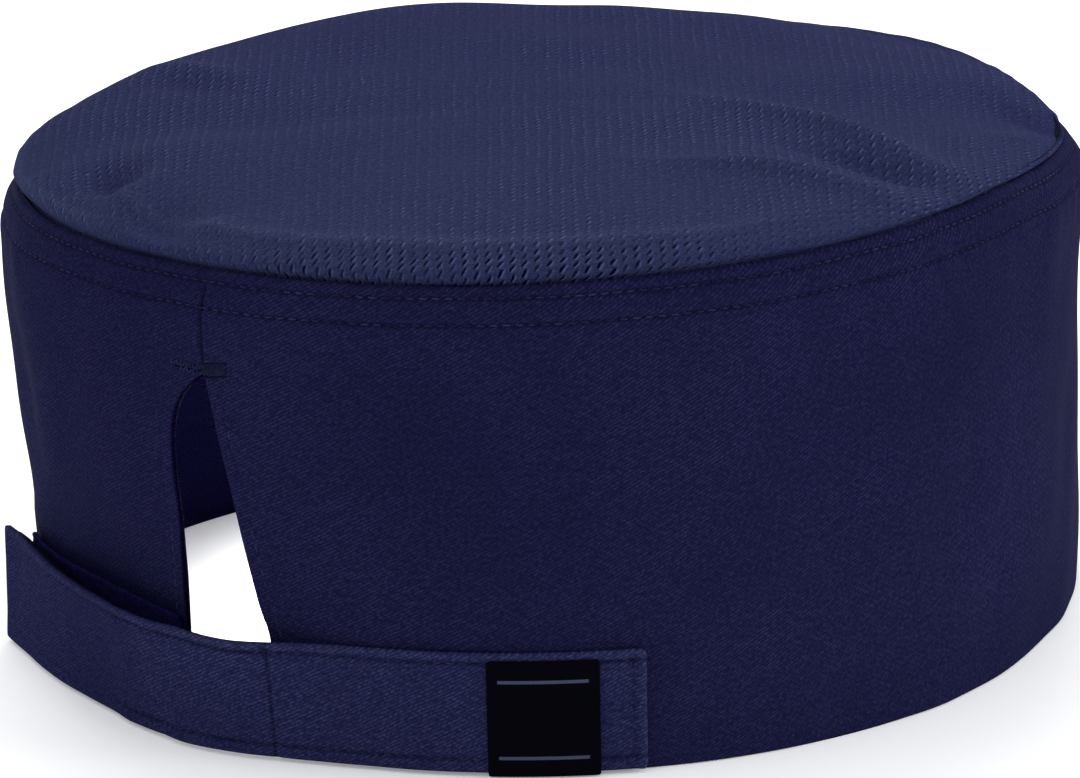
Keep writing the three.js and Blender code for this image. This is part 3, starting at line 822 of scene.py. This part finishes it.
def fold_rise(folds, x, y):
    """Height of the crown's folds."""
    rise = 0.0
    for crease in folds.values():
        turn = math.radians(crease["turn"])
        from_x = x - crease["x"] * HALF_WIDTH
        from_y = y - crease["y"] * HALF_LENGTH
        along = (from_x * math.cos(turn) + from_y * math.sin(turn)) / (crease["long"] * HALF_LENGTH)
        across = (from_y * math.cos(turn) - from_x * math.sin(turn)) / (crease["wide"] * HALF_LENGTH)
        rise = rise + crease["rise"] * FOLD_HEIGHT * np.exp(-along**2 - across**2)
    return rise


def unevenness(x, y, seed, waves, longest, shortest):
    """Small irregular unevenness of a flat cloth, about 1 deep."""
    rng = np.random.default_rng(seed)
    total = 0.0
    for _ in range(waves):
        length = math.exp(rng.uniform(math.log(shortest), math.log(longest)))
        heading, phase = rng.uniform(0, 2 * math.pi, 2)
        along = x * math.cos(heading) + y * math.sin(heading)
        total = total + np.cos(2 * math.pi / length * along + phase)
    return total / math.sqrt(waves)


seam_arcs = np.arange(60) * ROUND_LENGTH / 60
crown_middle = wall_point(seam_arcs, WALL_HEIGHT, 0).mean(axis=0)


def crown_point(arc, level):
    """A point of the crown's outer face. Below level 0 it is the seam allowance inside the band,
    from there to level 1 it rolls over the shoulder to the middle."""
    inside = -BAND_THICKNESS - CLEARANCE
    skirt = wall_point(arc, WALL_HEIGHT + np.minimum(level, 0) * SEAM_ALLOWANCE, inside)
    level = np.clip(level, 0, 1)
    reach = 1 - level
    seam = wall_point(arc, WALL_HEIGHT, inside)
    share_round = np.mod(arc, ROUND_LENGTH) / ROUND_LENGTH
    edge_puff = read_table(SEAM_ROUND, "round", "puff", share_round)
    puff = CROWN_PUFF * (MIDDLE_PUFF + (edge_puff - MIDDLE_PUFF) * reach**2)
    shoulder = (1 - reach**SHOULDER_POWER) ** (1 / SHOULDER_ROUNDNESS)
    spread = read_table(SEAM_ROUND, "round", "spread", share_round)
    outward = level / OVERHANG_LEVEL * np.exp(1 - level / OVERHANG_LEVEL)
    bulge = spread * np.where(level < OVERHANG_LEVEL, outward**0.45, outward)
    side_x, side_y = oval_side(turn_at(arc))
    point = crown_middle + (seam - crown_middle) * reach[..., None]
    x = point[..., 0] + side_x * CROWN_OVERHANG * bulge
    y = point[..., 1] + side_y * CROWN_OVERHANG * bulge
    rim = SHOULDER_RIDGE * read_table(SEAM_ROUND, "round", "rim", share_round)
    edge_ridge = rim * np.exp(-(((reach - RIDGE_REACH) / RIDGE_SPREAD) ** 2))
    folds = fold_rise(CROWN_FOLDS, x, y) + fold_rise(FINE_FOLDS, x, y)
    z = point[..., 2] + shoulder * (puff + edge_ridge + folds) + CROWN_DOME * (1 - reach**2)
    drape = DRAPE_DEPTH * unevenness(x, y, 21, 26, 70, 20) * ease_between(level, 0.02, 0.12)
    gathers = GATHER_DEPTH * ripples(arc, reach * 20, 23, 18, 16, 6) * ridge(level - 0.025, 0.03)
    rolled = np.stack([x + side_x * gathers, y + side_y * gathers, z + drape + 0.5 * gathers], axis=-1)
    return np.where((level <= 0)[..., None], skirt, rolled)


allowance_levels = [-1, -0.6, -0.3, -0.12]
roll_levels = ((0, 0.006, 0.0015), (0.006, 0.05, 0.004), (0.05, 0.2, 0.0085))
crown_levels = np.concatenate([allowance_levels, grades(*roll_levels, (0.2, 0.6, 0.012), (0.6, 1, 0.03))])
crown_columns = np.linspace(0, ROUND_LENGTH, 481)
arc, level = np.meshgrid(crown_columns, crown_levels, indexing="ij")
crown_face = crown_point(arc, level)
crown_face[:, -1] = crown_face[:-1, -1].mean(axis=0)
steps = np.linalg.norm(np.diff(crown_face, axis=1), axis=2)
from_middle = np.cumsum(steps[:, ::-1], axis=1)[:, ::-1]
from_middle = np.concatenate([from_middle, np.zeros((len(steps), 1))], axis=1)
shoulder_row = crown_face[:, len(crown_levels) // 2] - crown_middle
heading = (np.arctan2(shoulder_row[:, 1], shoulder_row[:, 0]) + MESH_TURN)[:, None]
crown_chart = np.stack([from_middle * np.cos(heading), from_middle * np.sin(heading)], axis=-1)
round_step = np.roll(crown_face[:-1], -1, axis=0) - np.roll(crown_face[:-1], 1, axis=0)
round_step = np.concatenate([round_step, round_step[:1]])
outward = np.cross(round_step, np.gradient(crown_face, axis=1))
outward[:, -1] = (0, 0, 1)
outward /= np.maximum(np.linalg.norm(outward, axis=2, keepdims=True), 1e-9)
share_round = np.mod(arc, ROUND_LENGTH) / ROUND_LENGTH
near_back = ease_between(share_round, *NEAR_BACK[:2]) * (1 - ease_between(share_round, *NEAR_BACK[2:]))
near_ridge = np.clip(read_table(SEAM_ROUND, "round", "rim", share_round) * 2 - 0.7, 0, 1)
on_shoulder = (1 - ease_between(level, 0.030, 0.062)) * (0.12 + 0.88 * near_back)
at_left = ease_between(share_round, *AT_LEFT[:2]) * (1 - ease_between(share_round, *AT_LEFT[2:]))
# Painted highlights: along the shoulder's ridge at the back, and on a thin rim low at the left.
painted_light = 0.26 * near_ridge * ridge(level - 1 + RIDGE_REACH, 0.012)
painted_light = painted_light + 0.30 * at_left * ridge(level - 0.012, 0.009)
# Painted shade in the folds' valleys and painted highlights on their ridges.
fold_shading = fold_rise(FINE_FOLDS, crown_face[..., 0], crown_face[..., 1]) / FOLD_HEIGHT
# Painted light: the crown is lighter toward the back right and darker toward the front left.
toward_back = (crown_face[..., 0] * 0.63 - crown_face[..., 1] * 0.78) / HALF_LENGTH
painted_light = painted_light + 0.15 * fold_shading + 0.13 * toward_back
crown = cloth_shell(
    "crown_cloth",
    crown_face,
    crown_face - outward * CROWN_THICKNESS,
    crown_chart,
    {"shoulder": (on_shoulder, on_shoulder), "shade": (1 + painted_light, 1.0)},
    disc=True,
)

MESH_COLUMN = 2.05
MESH_ROW = 2.0
SLIT_SLANT = math.radians(62)
SLIT_REACH = 0.66
SLIT_SPREAD = 0.24
FLOAT_ASIDE = 0.40
YARN_PITCH = 0.42
MESH_BUMP = 0.20


def vent_mesh_finish(name, dark, light, hole_shade_colour):
    """Navy vent mesh: columns of narrow slanted slits, staggered, with a raised float beside each.
    The slits gape where the cloth is pulled tight over the shoulder. They are not cut but painted
    dark, as painted shade of the cap's inside seen through them."""
    material, tree = new_cloth_tree(name)
    chart, u, v = cloth_places(tree)
    metres = node(tree, "ShaderNodeTexCoord", None, None, 3)
    shoulder = mark_of(tree, "shoulder")
    u = u + mottle(tree, chart, 0.07) * 1.6 + mottle(tree, chart, 0.6) * 0.45
    v = v + mottle(tree, metres, 60.0) * 1.6
    column = (u / MESH_COLUMN).floor()
    place = v / MESH_ROW + column * 0.5
    across = ((u / MESH_COLUMN).fract() - 0.5) * MESH_COLUMN
    up = (place.fract() - 0.5) * MESH_ROW
    along = (across * math.cos(SLIT_SLANT) + up * math.sin(SLIT_SLANT)) / SLIT_REACH
    along = along * (1 - shoulder * 0.3)
    aside = (up * math.cos(SLIT_SLANT) - across * math.sin(SLIT_SLANT)) / SLIT_SPREAD
    beside = aside + FLOAT_ASIDE / SLIT_SPREAD
    hole = 1 - (along * along + aside * aside).between(0.4, 1.5)
    raised = 1 - (along * along + beside * beside).between(0.2, 1.6)
    luck = chance(tree, column, place.floor())
    floats = (v * (2 * math.pi / YARN_PITCH)).cos() * 0.5 + 0.5
    slub = mottle(tree, chart, 2.0, 3.0, 0.7).between(0.25, 0.75)
    patches = mottle(tree, metres, 28.0, 4.0, 0.7).between(0.38, 0.64)
    gape = shoulder * 0.56 + (patches * 0.36 + 0.20)
    hole = hole * gape * (luck * 0.5 + 0.6)
    glint = raised * (patches * 0.48 + 0.20) * (luck * 0.8 + 0.2)
    haze = mottle(tree, chart, 0.8, 3.0, 0.7).between(0.3, 0.7)
    shine = floats * 0.06 + slub * 0.34 + haze * 0.16 + glint
    colour = tint(tree, shine.between(0.0, 1.0), dark, light)
    # Painted shade: the slits are coloured dark for the cap's inside seen through them.
    sockets = {0: hole, 6: colour, 7: (*hole_shade_colour, 1.0)}
    colour = node(tree, "ShaderNodeMix", {"data_type": "RGBA"}, sockets, 2)
    colour = shaded(tree, dim(tree, colour, mottle(tree, metres, 8.0, 2.0) * 0.22 + 0.89))
    relief = (1 - hole) * (floats * 0.12 + slub * 0.40 + raised * 0.22 + 0.3)
    finish_cloth(tree, colour, relief, MESH_BUMP, 0.92 - floats * 0.06)
    return material


crown.data.materials.append(
    vent_mesh_finish("vent_mesh", (0.0115, 0.0138, 0.046), (0.047, 0.055, 0.143), (0.0010, 0.0010, 0.009))
)
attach(crown, "root")
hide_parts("crown")

# ---- Loop tape ----
# The soft half of the fastening: a blue-black tape with a nap of fine loops, sewn flat on the band
# left of the slit. The strap covers it but for a narrow strip along its top.

STRAP_DROP = 0.6
STRAP_WIDTH = 20.8
SLIT_LEFT = float(hem_arc("left", STRAP_DROP + STRAP_WIDTH))
SLIT_RIGHT = float(hem_arc("right", STRAP_DROP + STRAP_WIDTH))
TAPE_THICKNESS = 1.0
LOOP_DROP = 0.6
LOOP_WIDTH = TAPE_TOP - LOOP_DROP
LOOP_LENGTH = 61.0
LOOP_INSET = 1.2
LOOP_START = SLIT_LEFT - LOOP_INSET


def cloth_patch(name, start, end, bottom, width, thickness, lift, relief=None, corner=0.4, edge=0.4,
                shade=None):
    """A strip of cloth along the wall. lift gives how far its back stands off the wall, relief
    what its face adds to its thickness, corner and edge the radii of its corners and its fold,
    shade the painted shade and highlight of its face. Its back gets the inner faces' painted shade."""
    columns = grades(
        (0, 0.6, 0.15), (0.6, 3.6, 0.4), (3.6, end - start - 3.6, 1.1),
        (end - start - 3.6, end - start - 0.6, 0.4), (end - start - 0.6, end - start, 0.15),
    ) / (end - start)
    rows = grades(
        (0, 0.6, 0.15), (0.6, 3.6, 0.3), (3.6, width - 3.6, 1.0),
        (width - 3.6, width - 0.6, 0.3), (width - 0.6, width, 0.15),
    )
    share, above = np.meshgrid(columns, rows, indexing="ij")
    back = fold(np.minimum(above, width - above), corner)
    arc = start + back + share * (end - start - 2 * back)
    height = bottom + above
    from_edge = np.minimum(np.minimum(above, width - above), share * (end - start))
    from_edge = np.minimum(from_edge, (1 - share) * (end - start))
    drop = fold(from_edge, edge)
    top = thickness - drop + (relief(arc, height) if relief else 0)
    seat = lift(arc, height)
    return cloth_shell(
        name,
        wall_point(arc, height, seat + top),
        wall_point(arc, height, seat + drop),
        np.stack([arc, height], axis=-1),
        {"shade": (shade(arc, height) if shade else 1.0, INSIDE_SHADE)},
    )


def tape_finish(name, dark, light, cells, depth):
    """Blue-black fastening tape: a fine nap of loops or hooks."""
    material, tree = new_cloth_tree(name)
    chart, u, v = cloth_places(tree)
    nap = node(tree, "ShaderNodeTexVoronoi", None, {"Vector": chart, "Scale": cells})
    fuzz = mottle(tree, chart, cells * 1.7, 4.0, 0.7)
    shine = (1 - nap) * fuzz
    colour = tint(tree, shine.between(0.1, 0.7), dark, light)
    finish_cloth(tree, colour, shine, depth, 0.95 - shine * 0.1)
    return material


def loop_nap(arc, height):
    """The loops' uneven height."""
    return 0.12 * ripples(arc, height, 31, 16, 6, 2)


loop_tape = cloth_patch(
    "loop_tape_nap", LOOP_START - LOOP_LENGTH, LOOP_START, LOOP_DROP, LOOP_WIDTH,
    TAPE_THICKNESS, lambda arc, height: CLEARANCE + 0 * arc, loop_nap,
)
loop_tape.data.materials.append(
    tape_finish("loop_nap", (0.0046, 0.0038, 0.0310), (0.0165, 0.0140, 0.088), 1.6, 0.25)
)
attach(loop_tape, "root")
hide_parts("loop_tape")

# ---- Strap ----
# A folded strip of the same twill. It is sewn down right of the slit, crosses the slit, and its
# free end presses onto the loop tape. Its edges are turned in.

STRAP_THICKNESS = 1.2
STRAP_OVERLAP = 64.3
STRAP_SEWN = 67.0
STRAP_TAIL = SLIT_LEFT - STRAP_OVERLAP
STRAP_END = SLIT_RIGHT + STRAP_SEWN
STRAP_BULGE = 4.8
STRAP_CORNER = 1.1
STRAP_TOP_ROW = 1.8
STRAP_BOTTOM_ROW = 2.3
STRAP_END_ROW = 2.3
HOOK_INSET = 11.0

# Slack of the strap's bottom and top edge off its seat, as shares of STRAP_BULGE
STRAP_SLACK = {
    "along": [
        0.00, 0.04, 0.08, 0.12, 0.20, 0.27, 0.33, 0.37, 0.42, 0.455, 0.50, 0.54, 0.575,
        0.60, 0.63, 0.67, 0.72, 1.00
    ],
    "low": [
        0.55, 0.29, 0.14, 0.11, 0.12, 0.14, 0.20, 0.44, 0.84, 0.96, 0.80, 0.62, 0.40, 0.28,
        0.12, 0.02, 0.00, 0.00
    ],
    "high": [
        0.36, 0.12, 0.12, 0.21, 0.57, 0.82, 0.92, 1.10, 1.43, 1.30, 1.36, 1.22, 0.80, 0.45,
        0.18, 0.03, 0.00, 0.00
    ],
}


def strap_lift(arc, height):
    """How far the strap's back stands off the wall: over the tapes, or close to the band."""
    over_tapes = np.clip((SLIT_LEFT - arc) / HOOK_INSET, 0, 1)
    seat = CLEARANCE + over_tapes * 2 * (TAPE_THICKNESS + CLEARANCE)
    along = (arc - STRAP_TAIL) / (STRAP_END - STRAP_TAIL)
    low = read_table(STRAP_SLACK, "along", "low", along)
    high = read_table(STRAP_SLACK, "along", "high", along)
    up = np.clip((height - STRAP_DROP) / STRAP_WIDTH, 0, 1)
    return seat + STRAP_BULGE * (low + (high - low) * up)


def strap_relief(arc, height):
    """The strap's turned edges, its sunk rows of stitching and its small puckers."""
    above = height - STRAP_DROP
    below = STRAP_WIDTH - above
    from_end = STRAP_END - arc
    from_tail = ease_between(arc - STRAP_TAIL, 1.0, 30.0)
    relief = from_tail * (0.22 * ridge(above - 1.0, 0.9) + 0.34 * ridge(below - 0.75, 0.7))
    relief = relief - from_tail * 0.26 * ridge(above - STRAP_BOTTOM_ROW, 0.4)
    relief = relief - from_tail * 0.30 * ridge(below - STRAP_TOP_ROW, 0.4)
    relief = relief + 0.50 * ridge(from_end - 0.8, 0.9) - 0.25 * ridge(from_end - STRAP_END_ROW, 0.4)
    relief = relief - 0.25 * ridge(arc - SLIT_RIGHT - HEM_ROW, 0.4)
    relief = relief - 0.12 * ridge(arc - SLIT_LEFT + HOOK_INSET, 0.5)
    pucker = ripples(arc, height * 0.5, 41, 14, 11, 4)
    relief = relief + 0.09 * pucker * (ridge(above - 3.5, 2.5) + ridge(below - 3.5, 2.5))
    return relief + 0.10 * ripples(arc, height, 43, 16, 40, 12)


def strap_shade(arc, height):
    """The strap's shade mark: darker toward the free end, with painted highlights along its
    rolled top edge and at its fixed end.
    """
    below = STRAP_WIDTH + STRAP_DROP - height
    brightness = 0.87 + 0.13 * ease_between(arc, SLIT_LEFT - 40, SLIT_LEFT + 10)
    # Painted highlights along the rolled top edge and at the fixed end.
    return brightness + 0.22 * ridge(below - 0.5, 0.7) + 0.25 * ridge(STRAP_END - arc - 0.5, 0.7)


def strap_face(arc, height):
    """A point of the strap's outer face."""
    return wall_point(arc, height, strap_lift(arc, height) + STRAP_THICKNESS + strap_relief(arc, height))


strap = cloth_patch(
    "strap_cloth", STRAP_TAIL, STRAP_END, STRAP_DROP, STRAP_WIDTH, STRAP_THICKNESS,
    strap_lift, strap_relief, STRAP_CORNER, 0.45, strap_shade,
)
# Painted light: the strap is the band's twill, but its colours are set lighter than the band's.
strap.data.materials.append(
    twill_finish(
        "navy_strap_twill_painted_light",
        (0.0088, 0.0093, 0.040),
        (0.034, 0.037, 0.107),
        (STRAP_DROP + STRAP_BOTTOM_ROW, STRAP_DROP + STRAP_WIDTH - STRAP_TOP_ROW),
        (SLIT_RIGHT + HEM_ROW,),
        SLIT_LEFT - 20.0,
    )
)
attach(strap, "root")
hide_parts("strap")

# ---- Topstitching of the strap ----
# One row of thread runs inside the edges of the strap's sewn part and round its fixed end, and a
# finer one crosses it where it holds the near end of the hook tape behind it.

low_row = STRAP_DROP + STRAP_BOTTOM_ROW
high_row = STRAP_DROP + STRAP_WIDTH - STRAP_TOP_ROW
end_row = STRAP_END - STRAP_END_ROW
sewn_row = SLIT_RIGHT + HEM_ROW
hook_row = SLIT_LEFT - HOOK_INSET
strap_stitch_rows = [
    [(sewn_row + 1, high_row), (end_row, high_row)],
    [(end_row, high_row - 1), (end_row, low_row + 1)],
    [(end_row, low_row), (hook_row, low_row)],
]
cross_rows = [[(hook_row, low_row + 0.6), (hook_row, high_row - 0.6)]]
sew("strap_stitching", strap_face, strap_stitch_rows, navy_thread, seed=2)
sew("strap_cross_stitching", strap_face, cross_rows, navy_thread, rise=0.1, seed=3,
    radius=0.12)

# ---- Hook tape ----
# The stiff half of the fastening: a black tape of fine plastic hooks, sewn to the back of the
# strap's free end. Only its edge can be seen, between the strap and the loop tape.

HOOK_WIDTH = 18.8
HOOK_START = SLIT_LEFT - HOOK_INSET
HOOK_MARGIN = 1.5
HOOK_END = STRAP_TAIL + HOOK_MARGIN
hook_tape = cloth_patch(
    "hook_tape_pile", HOOK_END, HOOK_START, STRAP_DROP + (STRAP_WIDTH - HOOK_WIDTH) / 2, HOOK_WIDTH,
    TAPE_THICKNESS, lambda arc, height: strap_lift(arc, height) - CLEARANCE - TAPE_THICKNESS,
)
hook_tape.data.materials.append(
    tape_finish("hook_pile", (0.0008, 0.0008, 0.0060), (0.0040, 0.0040, 0.020), 0.9, 0.35)
)
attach(hook_tape, "root")
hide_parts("hook_tape")

# ---- Label ----
# A small black satin label, woven double and sewn to the strap near its fixed end, its lower edge
# folded round the strap's. It is plain but for two thin slate-blue lines woven near its edges.

LABEL_WIDTH = 18.8
LABEL_HEIGHT = 20.0
LABEL_THICKNESS = 0.8
LABEL_DROP = 0.2
LABEL_RIGHT = STRAP_END - 8.0
LABEL_LIFT = 0.12
LINE_PLACE = 6.6
LINE_REACH = 7.5
SATIN_BUMP = 0.06


def label_lift(arc, height):
    """The back of the label, pressed on the strap."""
    return strap_lift(arc, height) + STRAP_THICKNESS + LABEL_LIFT


def label_relief(arc, height):
    """The label's slight swell between its sewn edges."""
    from_side = np.minimum(arc - LABEL_RIGHT + LABEL_WIDTH, LABEL_RIGHT - arc)
    from_end = np.minimum(height - LABEL_DROP, LABEL_DROP + LABEL_HEIGHT - height)
    inward = np.minimum(from_side, from_end)
    return 0.14 * ease_between(inward, 0.8, 3) - 0.12 * ridge(inward - 0.9, 0.35)


def label_finish(name, dark, light, line_colour):
    """Black damask satin with two thin woven lines."""
    material, tree = new_cloth_tree(name)
    chart, u, v = cloth_places(tree)
    warp = (u * (2 * math.pi / 0.34)).cos() * 0.5 + 0.5
    weft = (v * (2 * math.pi / 0.30)).cos() * 0.5 + 0.5
    slub = mottle(tree, chart, 1.4, 3.0, 0.6)
    colour = tint(tree, weft * 0.5 + slub * 0.5, dark, light)
    from_middle = (v - (LABEL_DROP + LABEL_HEIGHT / 2)).size()
    from_side = (u - (LABEL_RIGHT - LABEL_WIDTH / 2)).size()
    lines = 1 - (from_middle - LINE_PLACE).size().between(0.22, 0.34)
    lines = lines * (1 - from_side.between(LINE_REACH - 0.1, LINE_REACH + 0.1))
    sockets = {0: lines * (warp * 0.35 + 0.65), 6: colour, 7: (*line_colour, 1.0)}
    colour = node(tree, "ShaderNodeMix", {"data_type": "RGBA"}, sockets, 2)
    relief = weft * 0.5 + lines * 0.5 + warp * 0.15
    finish_cloth(tree, colour, relief, SATIN_BUMP, 0.72 + slub * 0.15)
    return material


label = cloth_patch(
    "label_satin", LABEL_RIGHT - LABEL_WIDTH, LABEL_RIGHT, LABEL_DROP, LABEL_HEIGHT,
    LABEL_THICKNESS, label_lift, label_relief, 0.5, 0.38,
)
label.data.materials.append(
    label_finish("label_satin", (0.0005, 0.0005, 0.0016), (0.0022, 0.0022, 0.0052), (0.062, 0.072, 0.135))
)
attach(label, "root")
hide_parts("label")

# ---- Table and light ----
# A plain white light table, a large softbox above and behind, a softer light at each side, and a
# weak one inside the cap that stands for what the table throws up there.


def plain_finish(name, colour, roughness, glow):
    """A plain matt surface, lit from within."""
    material, tree = new_cloth_tree(name)
    sockets = {"Base Color": (*colour, 1.0), "Roughness": roughness, "Specular IOR Level": 0.1}
    sockets.update({"Emission Color": (1.0, 1.0, 1.0, 1.0), "Emission Strength": glow})
    shader = node(tree, "ShaderNodeBsdfPrincipled", None, sockets)
    node(tree, "ShaderNodeOutputMaterial", None, {"Surface": shader})
    return material


TABLE_REACH = 12.0
table_mesh = bpy.data.meshes.new("table")
table_corners = [(x * TABLE_REACH, y * TABLE_REACH, 0) for x, y in ((-1, -1), (1, -1), (1, 1), (-1, 1))]
table_mesh.from_pydata(table_corners, [], [(0, 1, 2, 3)])
table = bpy.data.objects.new("table", table_mesh)
bpy.context.scene.collection.objects.link(table)
table_mesh.materials.append(plain_finish("white_table", (0.92, 0.92, 0.92), 0.9, 0.22))

CAMERA_AZIMUTH = math.radians(39.101)
CAMERA_ELEVATION = math.radians(15.965)
CAMERA_ROLL = math.radians(-1.241)
CAMERA_DISTANCE = 1.5
CAMERA_ASIDE = (-7.076, 37.221)
FOCAL_SHARE = 8469.1 / 1080

view_back = Vector(
    (
        math.sin(CAMERA_AZIMUTH) * math.cos(CAMERA_ELEVATION),
        -math.cos(CAMERA_AZIMUTH) * math.cos(CAMERA_ELEVATION),
        math.sin(CAMERA_ELEVATION),
    )
)
view_right = Vector((math.cos(CAMERA_AZIMUTH), math.sin(CAMERA_AZIMUTH), 0))
view_up = view_back.cross(view_right)


def softbox(name, azimuth, elevation, distance, size, power, colour):
    """A square area light that looks at the cap."""
    lamp = bpy.data.lights.new(name, "AREA")
    lamp.shape = "SQUARE"
    lamp.size = size
    lamp.energy = power
    lamp.color = colour
    holder = bpy.data.objects.new(name, lamp)
    turn, rise = math.radians(azimuth), math.radians(elevation)
    away = Vector((math.sin(turn) * math.cos(rise), -math.cos(turn) * math.cos(rise), math.sin(rise)))
    holder.location = away * distance + Vector((0, 0, 0.05))
    holder.rotation_euler = away.to_track_quat("Z", "Y").to_euler()
    bpy.context.scene.collection.objects.link(holder)


softbox("light_above", 225, 48, 1.6, 0.9, 15, (1.0, 0.99, 0.98))
softbox("light_left", -50, 30, 1.8, 1.2, 2.5, (0.96, 0.98, 1.0))
softbox("light_right", 125, 30, 1.8, 1.2, 12, (0.96, 0.98, 1.0))

under_lamp = bpy.data.lights.new("light_under", "AREA")
under_lamp.shape = "ELLIPSE"
under_lamp.size = 0.10
under_lamp.size_y = 0.12
under_lamp.energy = 0.22
under_lamp.spread = math.radians(80)
under_holder = bpy.data.objects.new("light_under", under_lamp)
under_holder.location = (0, 0, 0.06)
bpy.context.scene.collection.objects.link(under_holder)
under_holder.visible_camera = False

world = bpy.data.worlds.new("studio")
world.use_nodes = True
background = world.node_tree.nodes["Background"]
background.inputs["Color"].default_value = (0.95, 0.97, 1.0, 1.0)
background.inputs["Strength"].default_value = 0.80
bpy.context.scene.world = world
bpy.context.scene.view_settings.view_transform = "Standard"

SENSOR_WIDTH = 36.0
camera_data = bpy.data.cameras.new("camera")
camera_data.sensor_fit = "HORIZONTAL"
camera_data.sensor_width = SENSOR_WIDTH
camera_data.lens = SENSOR_WIDTH * FOCAL_SHARE
camera_data.clip_start = 0.05
camera_data.clip_end = 60.0
camera = bpy.data.objects.new("camera", camera_data)
bpy.context.scene.collection.objects.link(camera)
place = Vector(RIM_MIDDLE) * MM + view_back * CAMERA_DISTANCE
place += (view_right * CAMERA_ASIDE[0] + view_up * CAMERA_ASIDE[1]) * MM
across_view = view_right * math.cos(CAMERA_ROLL) + view_up * math.sin(CAMERA_ROLL)
up_view = view_up * math.cos(CAMERA_ROLL) - view_right * math.sin(CAMERA_ROLL)
facing = Matrix((across_view, up_view, view_back)).transposed()
camera.rotation_mode = "QUATERNION"
camera.rotation_quaternion = facing.to_quaternion()
camera.location = place
bpy.context.scene.camera = camera

bpy.context.view_layer.update()
